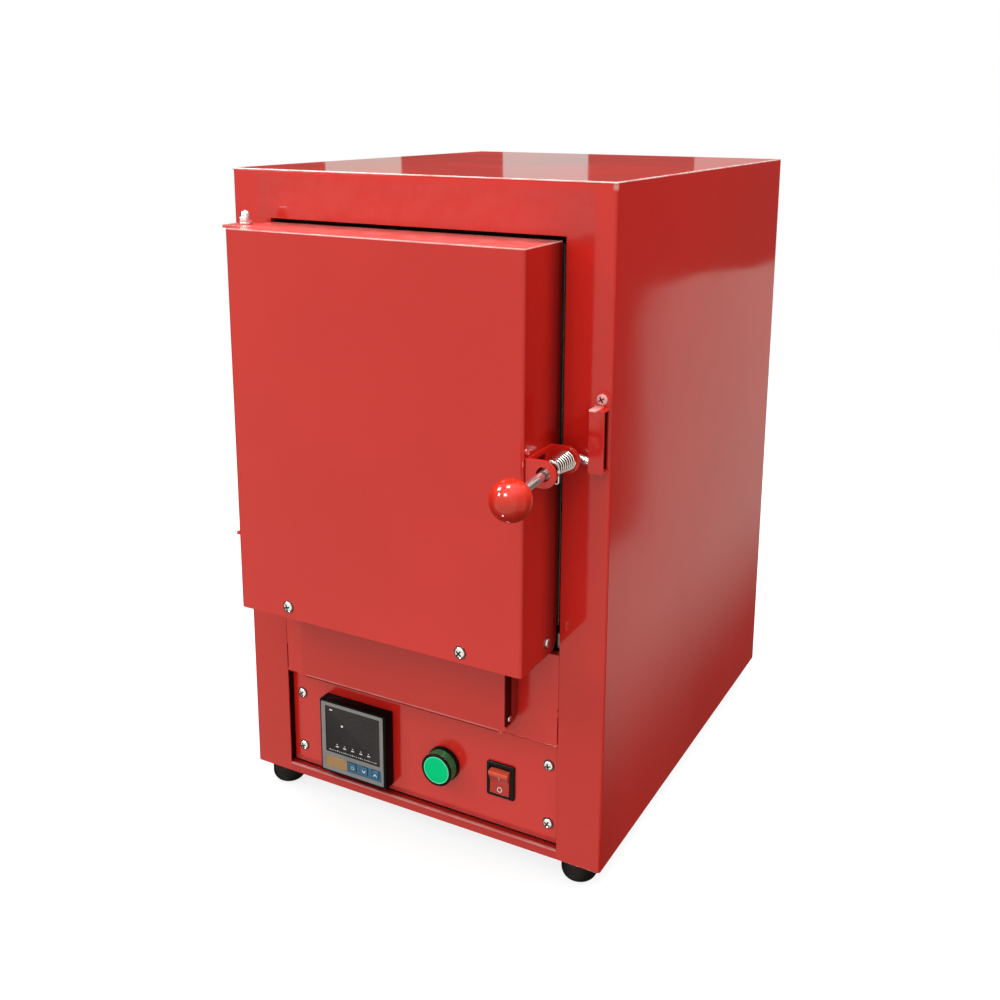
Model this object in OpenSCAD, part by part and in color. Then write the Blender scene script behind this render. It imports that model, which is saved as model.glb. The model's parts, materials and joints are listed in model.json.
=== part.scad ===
// Front-loading jewellery kiln: a bent sheet cabinet on rubber feet, a firebrick
// chamber behind a side-hung door with a sprung hook latch, and a control
// compartment below it with a controller, a pilot lamp and a rocker switch.
// Every module is drawn with the cabinet's front face at y = 0 and the floor at
// z = 0, and place() then moves it so that the origin is the middle of the footprint.

/* [Cabinet] */
// Width of the cabinet, mm
body_w = 355; // [345:1:400]
// Depth of the cabinet without door and gland, mm
body_d = 435; // [420:1:520]
// Height of the cabinet without feet, mm
body_h = 560; // [555:1:620]
// Thickness of the cabinet sheet, mm
sheet = 1.5; // [1.2:0.1:2]
// Outside radius of the front vertical bends, mm
bend_r = 3; // [2.5:0.5:5]
// Width of each front stile beside the opening, mm
stile_w = 39.5; // [38:0.5:42]
// Height of the front rail above the opening, mm
top_rail = 41; // [38:1:60]
// Height of the sill below the control window, mm
sill_h = 8.5; // [6:0.5:9]
// Depth of the return flange round the opening, mm
return_d = 7; // [6:0.5:8]

/* [Feet] */
// Height of a rubber foot, mm
foot_h = 19; // [16:1:24]
// Radius of a rubber foot, mm
foot_r = 15.5; // [14:0.5:16]

/* [Door] */
// How far the door stands out from the cabinet, mm
door_t = 61; // [58:1:64]
// Gap between the door and the stiles, mm
door_gap = 2.7; // [2.5:0.1:4]
// Height of the door's lower edge above the cabinet's base, mm
door_low = 191; // [190:1:194]
// Height of the door's upper edge above the cabinet's base, mm
door_top = 516; // [514:0.5:517]
// Side of the corner notch at the foot of the door's side flanges, mm
notch = 14; // [10:1:16]

/* [Chamber] */
// Half of the chamber's width, mm
ch_hw = 102; // [100:1:106]
// Height of the chamber floor above the cabinet's base, mm
ch_low = 215; // [212:1:218]
// Height of the chamber roof above the cabinet's base, mm
ch_top = 485; // [470:1:490]
// Depth of the chamber, mm
ch_d = 320; // [300:5:325]

/* [Controls] */
// Side of the square controller front, mm
ctl_w = 71; // [70:0.5:72]
// Diameter of the pilot lamp lens, mm
lens_d = 27.6; // [24:0.2:28]
// Angle the rocker leans from its middle position, degrees
rock_a = 9; // [7:0.5:10]

/* [Latch] */
// Diameter of the latch rod, mm
rod_d = 7; // [6:0.5:7.5]
// Diameter of the ball knob, mm
ball_d = 31; // [30:1:34]
// Length of the hook arm, mm
hook_l = 21; // [20:0.5:21.5]
// Angle the hook arm hangs below level, degrees
hook_a = 9; // [6:1:9]
// Angle the handle end droops, degrees
crank_a = 4.5; // [0:0.5:6]
// Turns of the latch spring
spring_turns = 7; // [5:1:8]

/* [Hidden] */

e = 0.01;
t = sheet;
z0 = foot_h;
hw = body_w / 2;
ox = hw - stile_w;             // half width of the opening
oz0 = z0 + sill_h;             // opening, lower edge
oz1 = z0 + body_h - top_rail;  // opening, upper edge
win_top = z0 + 101.5;          // control window, upper edge
mid_top = z0 + 184;            // middle panel, upper edge
dw = ox - door_gap;            // half width of the door
dz0 = z0 + door_low;
dz1 = z0 + door_top;
brick_y = 12;                  // front plane of the bricks
brick_x = hw - 7.5;            // half width over the side bricks
ch_y = brick_y + ch_d;         // back wall of the chamber
brick_back = ch_y + 83;
shelf_z = z0 + 112;
pan_y = return_d + 0.2;        // front plane of the control panel
row_z = z0 + 53;               // height of the row of controls
ctl_x = -62.8;
lamp_x = 25.9;
sw_x = 82.4;
fx = hw - 24.5;                // feet
fy0 = 16;
fy1 = body_d - 40;
hx = -(dw + 8.7);              // hinge pin
hy = -24.5;
leaf_t = 2.5;                  // thickness of a hinge leaf
h_up = z0 + door_top - leaf_t; // underside of the upper hinge leaf, flush with the door's top
h_lo = z0 + 246;               // underside of the lower hinge leaf
rx = dw + 14.2;                // latch rod axis
rz = z0 + 354;
arm_y = -7;                    // hook arm's axis
ball_y = -107;                 // ball's centre
bend = 6;                      // centre line radius of the rod's bends
crank_l = (-50 - bend * sin(crank_a) - ball_y) / cos(crank_a);  // straight run up to the ball's centre
ball_z = rz - bend * (1 - cos(crank_a)) - crank_l * sin(crank_a);
gland_x = 118;
gland_z = z0 + 40;
gland_l = 17.5;
front_y = ball_y - ball_d / 2;
yc = (body_d + gland_l + front_y) / 2; // middle of the footprint

RED = [0.78, 0.11, 0.09];
STEEL = [0.72, 0.73, 0.75];
DARK = [0.12, 0.12, 0.13];
FIBRE = [0.93, 0.91, 0.86];

module place() { translate([0, -yc, 0]) children(); }
module box(a, b) { translate(a) cube([b[0] - a[0], b[1] - a[1], b[2] - a[2]]); }
// cylinder along +Y from p
module ycyl(p, r, h, fn = 48) { translate(p) rotate([-90, 0, 0]) cylinder(r = r, h = h, $fn = fn); }
// cylinder along +X from p
module xcyl(p, r, h, fn = 48) { translate(p) rotate([0, 90, 0]) cylinder(r = r, h = h, $fn = fn); }
module zcyl(p, r, h, fn = 48) { translate(p) cylinder(r = r, h = h, $fn = fn); }
// screw with a low domed head; the head rises along +Z from z = 0, the shank goes down
module pan_screw(r = 4.2, h = 2.6, sr = 2, sl = 8) {
  rotate_extrude($fn = 40) polygon([[0, -sl], [sr, -sl], [sr, 0], [r, 0], [r, h * 0.45],
    [r * 0.93, h * 0.72], [r * 0.75, h * 0.92], [r * 0.45, h], [0, h]]);
}
module pan_y(p, r = 4.2, h = 2.6, sr = 2, sl = 6) { translate(p) rotate([90, 0, 0]) pan_screw(r, h, sr, sl); }
// plan of a box whose two front corners are rounded
module front_round(w, d, r) {
  translate([-w / 2, r]) square([w, d - r]);
  translate([-w / 2 + r, 0]) square([w - 2 * r, r + 1]);
  for (s = [-1, 1]) translate([s * (w / 2 - r), r]) circle(r = r, $fn = 40);
}
// elevation in X and Z with the two lower corners rounded
module foot_round(x0, x1, za, zb, r) {
  translate([x0, za + r]) square([x1 - x0, zb - za - r]);
  translate([x0 + r, za]) square([x1 - x0 - 2 * r, r + 1]);
  for (x = [x0 + r, x1 - r]) translate([x, za + r]) circle(r = r, $fn = 40);
}
// turns an X-Z elevation into a slab from y = a to y = b
module slab(a, b) { translate([0, b, 0]) rotate([90, 0, 0]) linear_extrude(b - a) children(); }

// ---------------------------------------------------------------- cabinet
module case_wrap() { color(RED) {
  difference() {
    translate([0, 0, z0]) linear_extrude(body_h - t) difference() {
      front_round(body_w, body_d, bend_r);
      translate([0, t]) front_round(body_w - 2 * t, body_d, bend_r - t);
    }
    box([-ox, -1, oz0], [ox, t + 1, oz1]);
  }
  // return flange round the opening
  difference() {
    box([-ox - t, t - 0.5, oz0 - t], [ox + t, return_d, oz1 + t]);
    box([-ox, t - 1, oz0], [ox, return_d + 1, oz1]);
    // none beside the control window
    for (x = [-ox - 5, ox - 1]) box([x, t, oz0 + e], [x + 6, return_d + 1, win_top]);
  }
  // lips that carry the rear panel
  for (s = [-1, 1]) difference() {
    box([s > 0 ? hw - t - 14 : -hw + t - e, body_d - 2 * t - 0.2, z0 + 10],
        [s > 0 ? hw - t + e : -hw + t + 14, body_d - t - 0.2, z0 + body_h - 30]);
    for (z = [z0 + 40, z0 + body_h / 2, z0 + body_h - 60])
      ycyl([s * (hw - t - 7), body_d - 10, z], 1.7, 20);
  }
} }
module top_panel() { color(RED) {
  box([-hw, 0, z0 + body_h - t], [hw, body_d, z0 + body_h]);
  box([-hw + 10, t + 0.4, z0 + body_h - 16], [hw - 10, 2 * t + 0.4, z0 + body_h - t + e]);
  for (s = [-1, 1]) box([s > 0 ? hw - 2 * t - 0.4 : -hw + t + 0.4, 10, z0 + body_h - 16],
                        [s > 0 ? hw - t - 0.4 : -hw + 2 * t + 0.4, body_d - 10, z0 + body_h - t + e]);
} }
module rear_panel() { color(RED) difference() {
  box([-hw + t + 0.3, body_d - t, z0 + 2], [hw - t - 0.3, body_d, z0 + body_h - t - 0.4]);
  for (s = [-1, 1], z = [z0 + 40, z0 + body_h / 2, z0 + body_h - 60]) ycyl([s * (hw - t - 7), body_d - 10, z], 2.1, 20);
  ycyl([gland_x, body_d - 10, gland_z], 8.1, 20);
  // vents of the control compartment and of the air gap over the roof brick
  for (i = [-1, 0], j = [0 : 5]) box([i * 92 - 14, body_d - 5, z0 + 26 + j * 13], [i * 92 + 58, body_d + 5, z0 + 30 + j * 13]);
  for (i = [-1, 0, 1], j = [0, 1]) box([i * 92 - 36, body_d - 5, z0 + body_h - 26 + j * 10], [i * 92 + 36, body_d + 5, z0 + body_h - 22.5 + j * 10]);
} }
module base_panel() { color(STEEL) difference() {
  union() {
    box([-hw + t + 0.3, t + 0.3, z0], [hw - t - 0.3, body_d - 2 * t - 0.6, z0 + t]);
    for (s = [-1, 1]) box([s > 0 ? hw - 2 * t - 0.3 : -hw + t + 0.3, 12, z0], [s > 0 ? hw - t - 0.3 : -hw + 2 * t + 0.3, body_d - 20, z0 + 14]);
    // tabs bent up behind the control panel's two ends
    for (s = [-1, 1]) box([s > 0 ? ox - 17 : -ox - 20, pan_y + t + 0.2, z0], [s > 0 ? ox + 20 : -ox + 17, pan_y + 2 * t + 0.2, win_top + 6]);
  }
  for (x = [-127, 127], z = [26.5, 80]) ycyl([x, 0, z0 + z], 2.1, 20);
  for (x = [-fx, fx], y = [fy0, fy1]) zcyl([x, y, z0 - 5], 2.2, 20);
  for (i = [0 : 7]) box([-70, 120 + i * 22, z0 - 5], [70, 124 + i * 22, z0 + 5]);
} }
module mid_panel() { color(RED) difference() {
  union() {
    // front sheet with its lower edge rolled back
    translate([-ox + 0.1, 0, 0]) rotate([90, 0, 90]) linear_extrude(2 * ox - 0.2) {
      translate([0.2, win_top + 2.5]) square([t, mid_top - win_top - 2.5]);
      translate([2.7, win_top]) square([return_d - 2.7, t]);
      intersection() {
        translate([0.2, win_top]) square([2.5 + e, 2.5 + e]);
        translate([2.7, win_top + 2.5]) difference() { circle(r = 2.5, $fn = 48); circle(r = 1, $fn = 48); }
      }
    }
    box([-ox + 0.1, 0.2, mid_top - t], [ox - 0.1, return_d, mid_top]);
    // tabs inside the lower cover that its side screws go into
    for (s = [0, 1]) box([s ? cov_x1 - 2 * t - 0.2 : cov_x0 + t + 0.2, -18.5, z0 + 121], [s ? cov_x1 - t - 0.2 : cov_x0 + 2 * t + 0.2, 0.3, z0 + 150]);
  }
  for (s = [0, 1]) xcyl([s ? cov_x1 - 6 : cov_x0 - 2, -15.5, z0 + 126.5], 1.6, 8);
  // relief slits at the lower ends of the side seams
  for (x = [-ox, ox - 0.8]) box([x, -1, win_top + 4], [x + 0.8, 2, win_top + 28]);
  box([ox - 0.8, -1, win_top + 33], [ox + 0.1, 2, win_top + 35.5]);
} }
cov_x0 = -113; cov_x1 = 101.4; cov_y = -20.5; cov_z0 = z0 + 115; cov_z1 = z0 + 186;
module lower_cover() { color(RED) difference() {
  slab(cov_y, -0.2) foot_round(cov_x0, cov_x1, cov_z0, cov_z1, 7);
  slab(cov_y + t, 5) foot_round(cov_x0 + t, cov_x1 - t, cov_z0 + t, cov_z1 - t, 5.5);
  // lower back edge cut away
  translate([cov_x0 - 1, 0, cov_z0 - 3]) rotate([45, 0, 0]) translate([0, -9.5, -9.5]) cube([cov_x1 - cov_x0 + 2, 19, 19]);
  for (s = [0, 1]) xcyl([s ? cov_x1 - 5 : cov_x0 - 5, -15.5, z0 + 126.5], 1.6, 10);
} }
module control_panel() { color(RED) difference() {
  box([-ox + 0.5, pan_y, oz0 + 0.9], [ox - 0.5, pan_y + t, win_top + 7]);
  box([ctl_x - 33.7, 0, cz - 33.7], [ctl_x + 33.7, 20, cz + 33.7]);
  ycyl([lamp_x, 0, row_z - 0.5], 11.2, 20);
  box([sw_x - 11.2, 0, row_z - 14.2], [sw_x + 11.2, 20, row_z + 14.2]);
  for (x = [-127, 127], z = [26.5, 80]) ycyl([x, 0, z0 + z], 2.15, 20);
} }
module compartment_shelf() { color(STEEL) {
  box([-hw + t + 0.5, pan_y + t + 0.4, shelf_z], [hw - t - 0.5, body_d - 2 * t - 0.6, shelf_z + t]);
  for (s = [-1, 1]) box([s > 0 ? hw - 2 * t - 0.5 : -hw + t + 0.5, 20, shelf_z - 12], [s > 0 ? hw - t - 0.5 : -hw + 2 * t + 0.5, body_d - 20, shelf_z + e]);
} }
module foot(x, y) { translate([x, y, 0]) difference() {
  rotate_extrude($fn = 48) polygon(concat([[0, 0], [foot_r * 0.52, 0]],
    [for (a = [15 : 15 : 90]) [foot_r * (0.52 + 0.48 * sin(a)), foot_r * 0.6 * (1 - cos(a))]],
    [[foot_r, foot_h], [0, foot_h]]));
  zcyl([0, 0, -1], 4.8, 10);
  zcyl([0, 0, -1], 2.3, foot_h + 5);
} }
module foot_front_left() { color(DARK) foot(-fx, fy0); }
module foot_front_right() { color(DARK) foot(fx, fy0); }
module foot_rear_left() { color(DARK) foot(-fx, fy1); }
module foot_rear_right() { color(DARK) foot(fx, fy1); }
module foot_screws() { color(STEEL) for (x = [-fx, fx], y = [fy0, fy1]) translate([x, y, 0]) {
  zcyl([0, 0, 5.6], 4, 3.4);
  zcyl([0, 0, 8.9], 2, z0 + t + 5 - 8.9);
  translate([0, 0, z0 + t]) cylinder(r = 4.2, h = 3.4, $fn = 6);
} }

// ---------------------------------------------------------------- furnace
groove_z = [for (i = [0 : 5]) z0 + ch_low + 30 + i * 42];
el_x = ch_hw + 5; el_y0 = brick_y + 34; el_y1 = ch_y - 30;
// grooves with lips that hold the coil; the first and last run out through the back
module grooves(s) {
  for (i = [0 : 5]) ycyl([s * el_x, el_y0 - 8, groove_z[i]], 6, (i % 5 ? el_y1 + 8 : brick_back + 5) - el_y0 + 8);
  for (z = groove_z) box([s > 0 ? ch_hw - 5 : -el_x, el_y0 - 9, z - 4], [s > 0 ? el_x : -ch_hw + 5, el_y1 + 9, z + 4]);
  for (i = [0 : 4]) box([s > 0 ? ch_hw - 5 : -el_x - 5.2, (i % 2 ? el_y1 : el_y0) - 7, groove_z[i] + 1],
                        [s > 0 ? el_x + 5.2 : -ch_hw + 5, (i % 2 ? el_y1 : el_y0) + 7, groove_z[i + 1] - 1]);
}
module floor_brick() { color(FIBRE) box([-brick_x, brick_y, shelf_z + t], [brick_x, brick_back, z0 + ch_low]); }
module roof_brick() { color(FIBRE) box([-brick_x, brick_y, z0 + ch_top], [brick_x, brick_back, z0 + body_h - 18]); }
module side_brick(s) { difference() {
  box([s > 0 ? ch_hw : -brick_x, brick_y, z0 + ch_low], [s > 0 ? brick_x : -ch_hw, brick_back, z0 + ch_top]);
  grooves(s);
} }
module left_brick() { color(FIBRE) side_brick(-1); }
module right_brick() { color(FIBRE) side_brick(1); }
module back_brick() { color(FIBRE) difference() {
  box([-ch_hw, ch_y, z0 + ch_low], [ch_hw, brick_back, z0 + ch_top]);
  ycyl([0, ch_y - 5, z0 + 400], 4.6, 100);
  for (s = [-1, 1], z = [groove_z[0], groove_z[5]]) ycyl([s * el_x, ch_y - 5, z], 6.1, 100);
} }
module hearth_tile() { color([0.86, 0.83, 0.76]) box([-92, brick_y + 24, z0 + ch_low], [92, ch_y - 12, z0 + ch_low + 8]); }
// a heating element: the coil's round envelope running to and fro in the grooves,
// with a straight tail at each end that goes out through the back
module element(s) {
  r = 4.4;
  for (i = [0 : 5]) ycyl([s * el_x, el_y0 - 3, groove_z[i]], r, el_y1 - el_y0 + 6, 32);
  for (i = [0 : 4]) zcyl([s * el_x, i % 2 ? el_y1 : el_y0, groove_z[i]], r - 0.5, 42, 32);
  for (z = [groove_z[0], groove_z[5]]) ycyl([s * el_x, el_y1, z], 1.8, brick_back + 14 - el_y1, 32);
}
module element_left() { color([0.35, 0.33, 0.32]) element(-1); }
module element_right() { color([0.35, 0.33, 0.32]) element(1); }
module element_bushes() { color([0.9, 0.89, 0.85]) for (s = [-1, 1], z = [groove_z[0], groove_z[5]]) difference() {
  union() {
    ycyl([s * el_x, ch_y - 10, z], 6, brick_back - ch_y + 16);
    ycyl([s * el_x, brick_back, z], 9, 4);
  }
  ycyl([s * el_x, ch_y - 20, z], 1.8, 130);
} }
module thermocouple() { color([0.9, 0.89, 0.85]) {
  ycyl([0, ch_y - 34, z0 + 400], 4, brick_back - ch_y + 36);
  translate([0, ch_y - 34, z0 + 400]) sphere(r = 4, $fn = 32);
  ycyl([0, brick_back, z0 + 400], 12, 10);
} }

// ---------------------------------------------------------------- hinge
module hinge_tongue(zt) { difference() {
  union() {
    zcyl([hx, hy, zt - 3], 7.4, 3);
    box([hx - 7.4, hy, zt - 3], [hx + 7, -0.1, zt]);
    box([hx - 15, -2.1, zt - 26], [hx + 7, -0.1, zt]);
  }
  zcyl([hx, hy, zt - 8], 3, 12);
  for (z = [zt - 10, zt - 20]) ycyl([hx - 6, -8, z], 1.7, 16);
} }
module hinge_brackets() { color(RED) { hinge_tongue(h_up - 0.6); hinge_tongue(h_lo - 0.6); } }
module hinge_pins() { color(STEEL) for (h = [h_up, h_lo]) {
  zcyl([hx, hy, h - 3.6 - 4], 5, 4);
  zcyl([hx, hy, h - 3.6 - e], 3, 3.6 + leaf_t + 1.8);
} }
module hinge_nuts() { color(STEEL) for (h = [h_up, h_lo]) translate([hx, hy, h + leaf_t + 0.2]) difference() {
  union() {
    cylinder(r = 6.2, h = 1.1, $fn = 40);
    translate([0, 0, 1]) cylinder(r = 5.6, h = 5, $fn = 6);
    translate([0, 0, 5.9]) rotate_extrude($fn = 40) polygon([[0, 0], [4.7, 0], [4.6, 1.6], [4.1, 3.1], [3.1, 4.3], [1.7, 5.1], [0, 5.4]]);
  }
  translate([0, 0, -1]) cylinder(r = 3, h = 2.8, $fn = 40);
} }

// ---------------------------------------------------------------- strike
st_x0 = hw - 13; st_x1 = hw - 0.6; st_z0 = z0 + 344.5; st_z1 = z0 + 394;
st_y = arm_y - rod_d / 2 - 0.4;   // inner face of the strike plate
module strike() { color(RED) difference() {
  union() {
    box([st_x0, st_y - t, st_z0], [st_x1, st_y, st_z1]);
    box([st_x0, st_y - t, st_z1 - t], [st_x1, -0.1, st_z1]);
    box([st_x0, st_y - t, st_z0], [st_x1, -0.1, st_z0 + t]);
    box([st_x0, -t - 0.1, st_z1 - t], [st_x1, -0.1, st_z1 + 6]);
    ycyl([(st_x0 + st_x1) / 2, -t - 0.1, st_z1 + 6], (st_x1 - st_x0) / 2, t);
  }
  ycyl([(st_x0 + st_x1) / 2, -5, st_z1 + 6], 2.1, 10);
} }
// screws of the control panel, the strike and the hinge brackets
module case_screws() { color(STEEL) {
  for (x = [-127, 127], z = [26.5, 80]) pan_y([x, pan_y - e, z0 + z], 4.1, 2.8, 2, 7);
  pan_y([(st_x0 + st_x1) / 2, -t - 0.1, st_z1 + 6], 4.3, 2.8, 2, 1.5);
  for (h = [h_up - 0.6, h_lo - 0.6], z = [10, 20]) pan_y([hx - 6, -2.1, h - z], 3, 1.6, 1.6, 1.9);
} }
module cover_screws() { color(STEEL) for (s = [-1, 1])
  translate([s > 0 ? cov_x1 : cov_x0, -15.5, z0 + 126.5]) rotate([0, s * 90, 0]) pan_screw(2.6, 1.5, 1.5, 3); }
module rear_screws() { color(STEEL) for (s = [-1, 1], z = [z0 + 40, z0 + body_h / 2, z0 + body_h - 60])
  translate([s * (hw - t - 7), body_d, z]) rotate([-90, 0, 0]) pan_screw(3.8, 2.4, 1.6, 6); }

// ---------------------------------------------------------------- controls
cz = row_z - 1.2; cf = -5.6;   // controller's centre height and front plane
key_x = [ctl_x - 0.5, ctl_x + 11.9, ctl_x + 24.2];
key_z = cz - 23.6;
module controller_housing() { color(DARK) {
  difference() {
    box([ctl_x - 33.3, pan_y - 0.1, cz - 33.3], [ctl_x + 33.3, pan_y + 76, cz + 33.3]);
    for (z = [-24 : 8 : 24], s = [-1, 1]) box([ctl_x + s * 33.3 - 2, pan_y + 38, cz + z - 1.5], [ctl_x + s * 33.3 + 2, pan_y + 70, cz + z + 1.5]);
  }
  // side clamps that hold it in the panel
  for (s = [-1, 1]) box([ctl_x + s * 36.5 - 3.21, pan_y + t, cz - 9], [ctl_x + s * 36.5 + 3.21, pan_y + 32, cz + 9]);
} }
module controller_bezel() { color([0.05, 0.05, 0.055]) difference() {
  hull() {
    box([ctl_x - ctl_w / 2, pan_y - 1.6, cz - ctl_w / 2], [ctl_x + ctl_w / 2, pan_y - 0.1, cz + ctl_w / 2]);
    box([ctl_x - ctl_w / 2 + 1.3, cf, cz - ctl_w / 2 + 1.3], [ctl_x + ctl_w / 2 - 1.3, cf + 1, cz + ctl_w / 2 - 1.3]);
  }
  box([ctl_x - 29.1, cf - 1, cz - 14.4], [ctl_x + 29.1, cf + 1.6, cz + 30.6]);
  box([ctl_x - 30.5, cf - 1, cz - 32.6], [ctl_x + 31.1, cf + 1.6, cz - 15.4]);
  // pockets of the three keys
  for (i = [0 : 2]) box([key_x[i] - 4.3, cf - 1, key_z - 4.3], [key_x[i] + 4.3, cf + 4, key_z + 4.3]);
} }
module controller_window() { color([0.08, 0.09, 0.1]) box([ctl_x - 29, cf + 0.5, cz - 14.3], [ctl_x + 29, cf + 1.6, cz + 30.5]); }
module key_strip() { color([0.12, 0.3, 0.55]) difference() {
  box([ctl_x - 30.4, cf + 0.3, cz - 32.5], [ctl_x + 31, cf + 1.6, cz - 15.5]);
  for (i = [0 : 2]) box([key_x[i] - 4.1, cf - 2, key_z - 4.1], [key_x[i] + 4.1, cf + 3, key_z + 4.1]);
} }
module key(i) { box([key_x[i] - 3.7, cf - 0.5, key_z - 3.7], [key_x[i] + 3.7, cf + 2.4, key_z + 3.7]); }
module key_set() { color([0.16, 0.36, 0.62]) key(0); }
module key_down() { color([0.16, 0.36, 0.62]) key(1); }
module key_up() { color([0.16, 0.36, 0.62]) key(2); }
lz = row_z - 0.5;
module pilot_body() { color([0.06, 0.06, 0.065]) {
  ycyl([lamp_x, pan_y - 3.6, lz], 15.1, 3.5);
  ycyl([lamp_x, pan_y - 0.2, lz], 11, 30);
  ycyl([lamp_x, pan_y + 29.7, lz], 9, 8);
} }
module pilot_lens() { color([0.15, 0.75, 0.35]) {
  ycyl([lamp_x, -5.2, lz], lens_d / 2 + 0.8, 5.2 + pan_y - 3.6);
  translate([lamp_x, -5.2, lz]) rotate([90, 0, 0]) rotate_extrude($fn = 48)
    polygon([[0, -1], [lens_d / 2 - 0.2, -1], [lens_d / 2 - 0.2, 0], [lens_d / 2 - 1.6, 0.7], [lens_d / 2 - 5, 1.2], [0, 1.5]]);
} }
module pilot_nut() { color(DARK) difference() {
  ycyl([lamp_x, pan_y + t, lz], 15, 4, 6);
  ycyl([lamp_x, pan_y, lz], 11.1, 10);
} }
sp_y = 11.5;   // rocker pivot
module switch_housing() { color([0.05, 0.05, 0.055]) difference() {
  union() {
    box([sw_x - 13.2, pan_y - 2.2, row_z - 15.8], [sw_x + 13.2, pan_y - 0.1, row_z + 15.8]);
    box([sw_x - 11, pan_y - 0.2, row_z - 14], [sw_x + 11, pan_y + 24, row_z + 14]);
  }
  box([sw_x - 9.9, -3, row_z - 13.3], [sw_x + 9.9, pan_y + 14, row_z + 13.3]);
  xcyl([sw_x - 10.6, sp_y, row_z], 1.55, 21.2);
} }
module switch_rocker() { color([0.85, 0.16, 0.12]) translate([sw_x, sp_y, row_z]) rotate([rock_a, 0, 0]) {
  translate([-9.6, 0, 0]) rotate([90, 0, 90]) linear_extrude(19.2)
    polygon([[-9.4, 11.2], [-8.9, 11.8], [-3, 11.8], [4, 4], [4, -4], [-3, -11.8], [-8.9, -11.8], [-9.4, -11.2], [-6.6, 0]]);
  xcyl([-10.3, 0, 0], 1.5, 20.6);
} }
module switch_tabs() { color([0.78, 0.65, 0.3]) for (x = [-5.5, 5.5], z = [-7, 7])
  box([sw_x + x - 0.4, pan_y + 24, row_z + z - 3.1], [sw_x + x + 0.4, pan_y + 34, row_z + z + 3.1]); }
module relay() { color([0.93, 0.93, 0.9]) difference() {
  box([-29 + 10, 322, z0 + 30], [29 + 10, 348, z0 + 76]);
  for (x = [-23.5 + 10, 23.5 + 10]) ycyl([x, 310, z0 + 53], 2.2, 60);
} }
module heat_sink() { color([0.75, 0.76, 0.78]) {
  box([-50 + 10, 348, z0 + 22], [50 + 10, 354, z0 + 84]);
  for (i = [0 : 9]) box([-50 + 10 + i * 10.8, 353, z0 + 22], [-50 + 12.6 + i * 10.8, 400, z0 + 84]);
  box([-50 + 10, 348, z0 + t], [-20 + 10, 351, z0 + 23]);
  box([20 + 10, 348, z0 + t], [50 + 10, 351, z0 + 23]);
} }
module terminal_block() { color([0.9, 0.88, 0.8]) difference() {
  box([84, 300, z0 + t], [150, 322, z0 + t + 20]);
  for (i = [0 : 4]) { zcyl([92 + i * 12.5, 305, z0 + 8], 2.6, 30); zcyl([92 + i * 12.5, 317, z0 + 8], 2.6, 30); }
} }
// gland for the supply lead
module cable_gland() { color([0.1, 0.1, 0.11]) difference() {
  union() {
    ycyl([gland_x, body_d - 12, gland_z], 8, 14);
    ycyl([gland_x, body_d, gland_z], 12.5, 5, 6);
    ycyl([gland_x, body_d + 4.9, gland_z], 10.5, 7);
    translate([gland_x, body_d + 11.8, gland_z]) rotate([-90, 0, 0]) cylinder(r1 = 10.5, r2 = 7, h = gland_l - 11.8, $fn = 48);
    ycyl([gland_x, body_d - t - 5, gland_z], 12.5, 5, 6);
  }
  ycyl([gland_x, body_d - 20, gland_z], 4.5, 50);
} }

// ---------------------------------------------------------------- door
module door_shell() { color(RED) {
  // rivet above the latch
  xcyl([dw - 0.5, -56.5, z0 + 369], 2.7, 2.1, 32);
  difference() {
  translate([0, -door_t, dz0]) linear_extrude(dz1 - dz0) front_round(2 * dw, door_t - 0.5, bend_r);
  translate([0, -door_t + t, dz0 + t]) linear_extrude(dz1 - dz0 - 2 * t) front_round(2 * dw - 2 * t, door_t + 5, bend_r - t);
  translate([-dw - 1, 0, dz0]) rotate([45, 0, 0]) translate([0, -notch / sqrt(2), -notch / sqrt(2)]) cube([2 * dw + 2, notch * sqrt(2), notch * sqrt(2)]);
  for (x = [-83, 82]) ycyl([x, -door_t - 5, z0 + 199.7], 2.15, 10);
  for (s = [-1, 1]) xcyl([s * dw - 5, -17, z0 + 201.4], 1.6, 10);
  }
} }
module door_liner() { color([0.25, 0.24, 0.24]) difference() {
  box([-dw + 2.3, -20, dz0 + 16], [dw - 2.3, 8, dz1 - 2.2]);
  box([-dw + 3.5, -21, dz0 + 17.2], [dw - 3.5, 6.8, dz1 - 3.4]);
  box([-98.5, -21, z0 + ch_low + 5.5], [98.5, 20, z0 + ch_top - 5.5]);
} }
module door_plug() { color(FIBRE) {
  box([-dw + 4, -door_t + t + 0.5, dz0 + 18], [dw - 4, 6.6, dz1 - 4]);
  box([-97.5, 6.5, z0 + ch_low + 6.5], [97.5, 24, z0 + ch_top - 6.5]);
} }
module door_gasket() { color([0.96, 0.95, 0.9]) difference() {
  box([-dw + 3, 8, dz0 + 16.7], [dw - 3, 11.6, dz1 - 3]);
  box([-112, 0, z0 + ch_low - 4], [112, 20, z0 + ch_top + 4]);
} }
module leaf(h) { difference() {
  box([hx - 12, hy - 15.5, h], [-dw, hy + 8, h + leaf_t]);
  zcyl([hx, hy, h - 5], 3.05, 12);
} }
module hinge_leaves() { color(RED) {
  leaf(h_up);
  leaf(h_lo);
  difference() {
    box([-dw - 2, hy - 20, h_lo], [-dw, hy + 16, h_lo + 28]);
    for (y = [hy - 10, hy + 9]) xcyl([-dw - 5, y, h_lo + 17], 1.7, 10);
  }
} }
module door_screws() { color(STEEL) {
  for (x = [-83, 82]) pan_y([x, -door_t, z0 + 199.7], 3.9, 2.4, 2, 5);
  for (s = [-1, 1]) translate([s * dw, -17, z0 + 201.4]) rotate([0, s * 90, 0]) pan_screw(3, 1.8, 1.5, 3);
  for (y = [hy - 10, hy + 9]) translate([-dw - 2, y, h_lo + 17]) rotate([0, -90, 0]) pan_screw(3, 1.6, 1.6, 1.9);
} }

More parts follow.
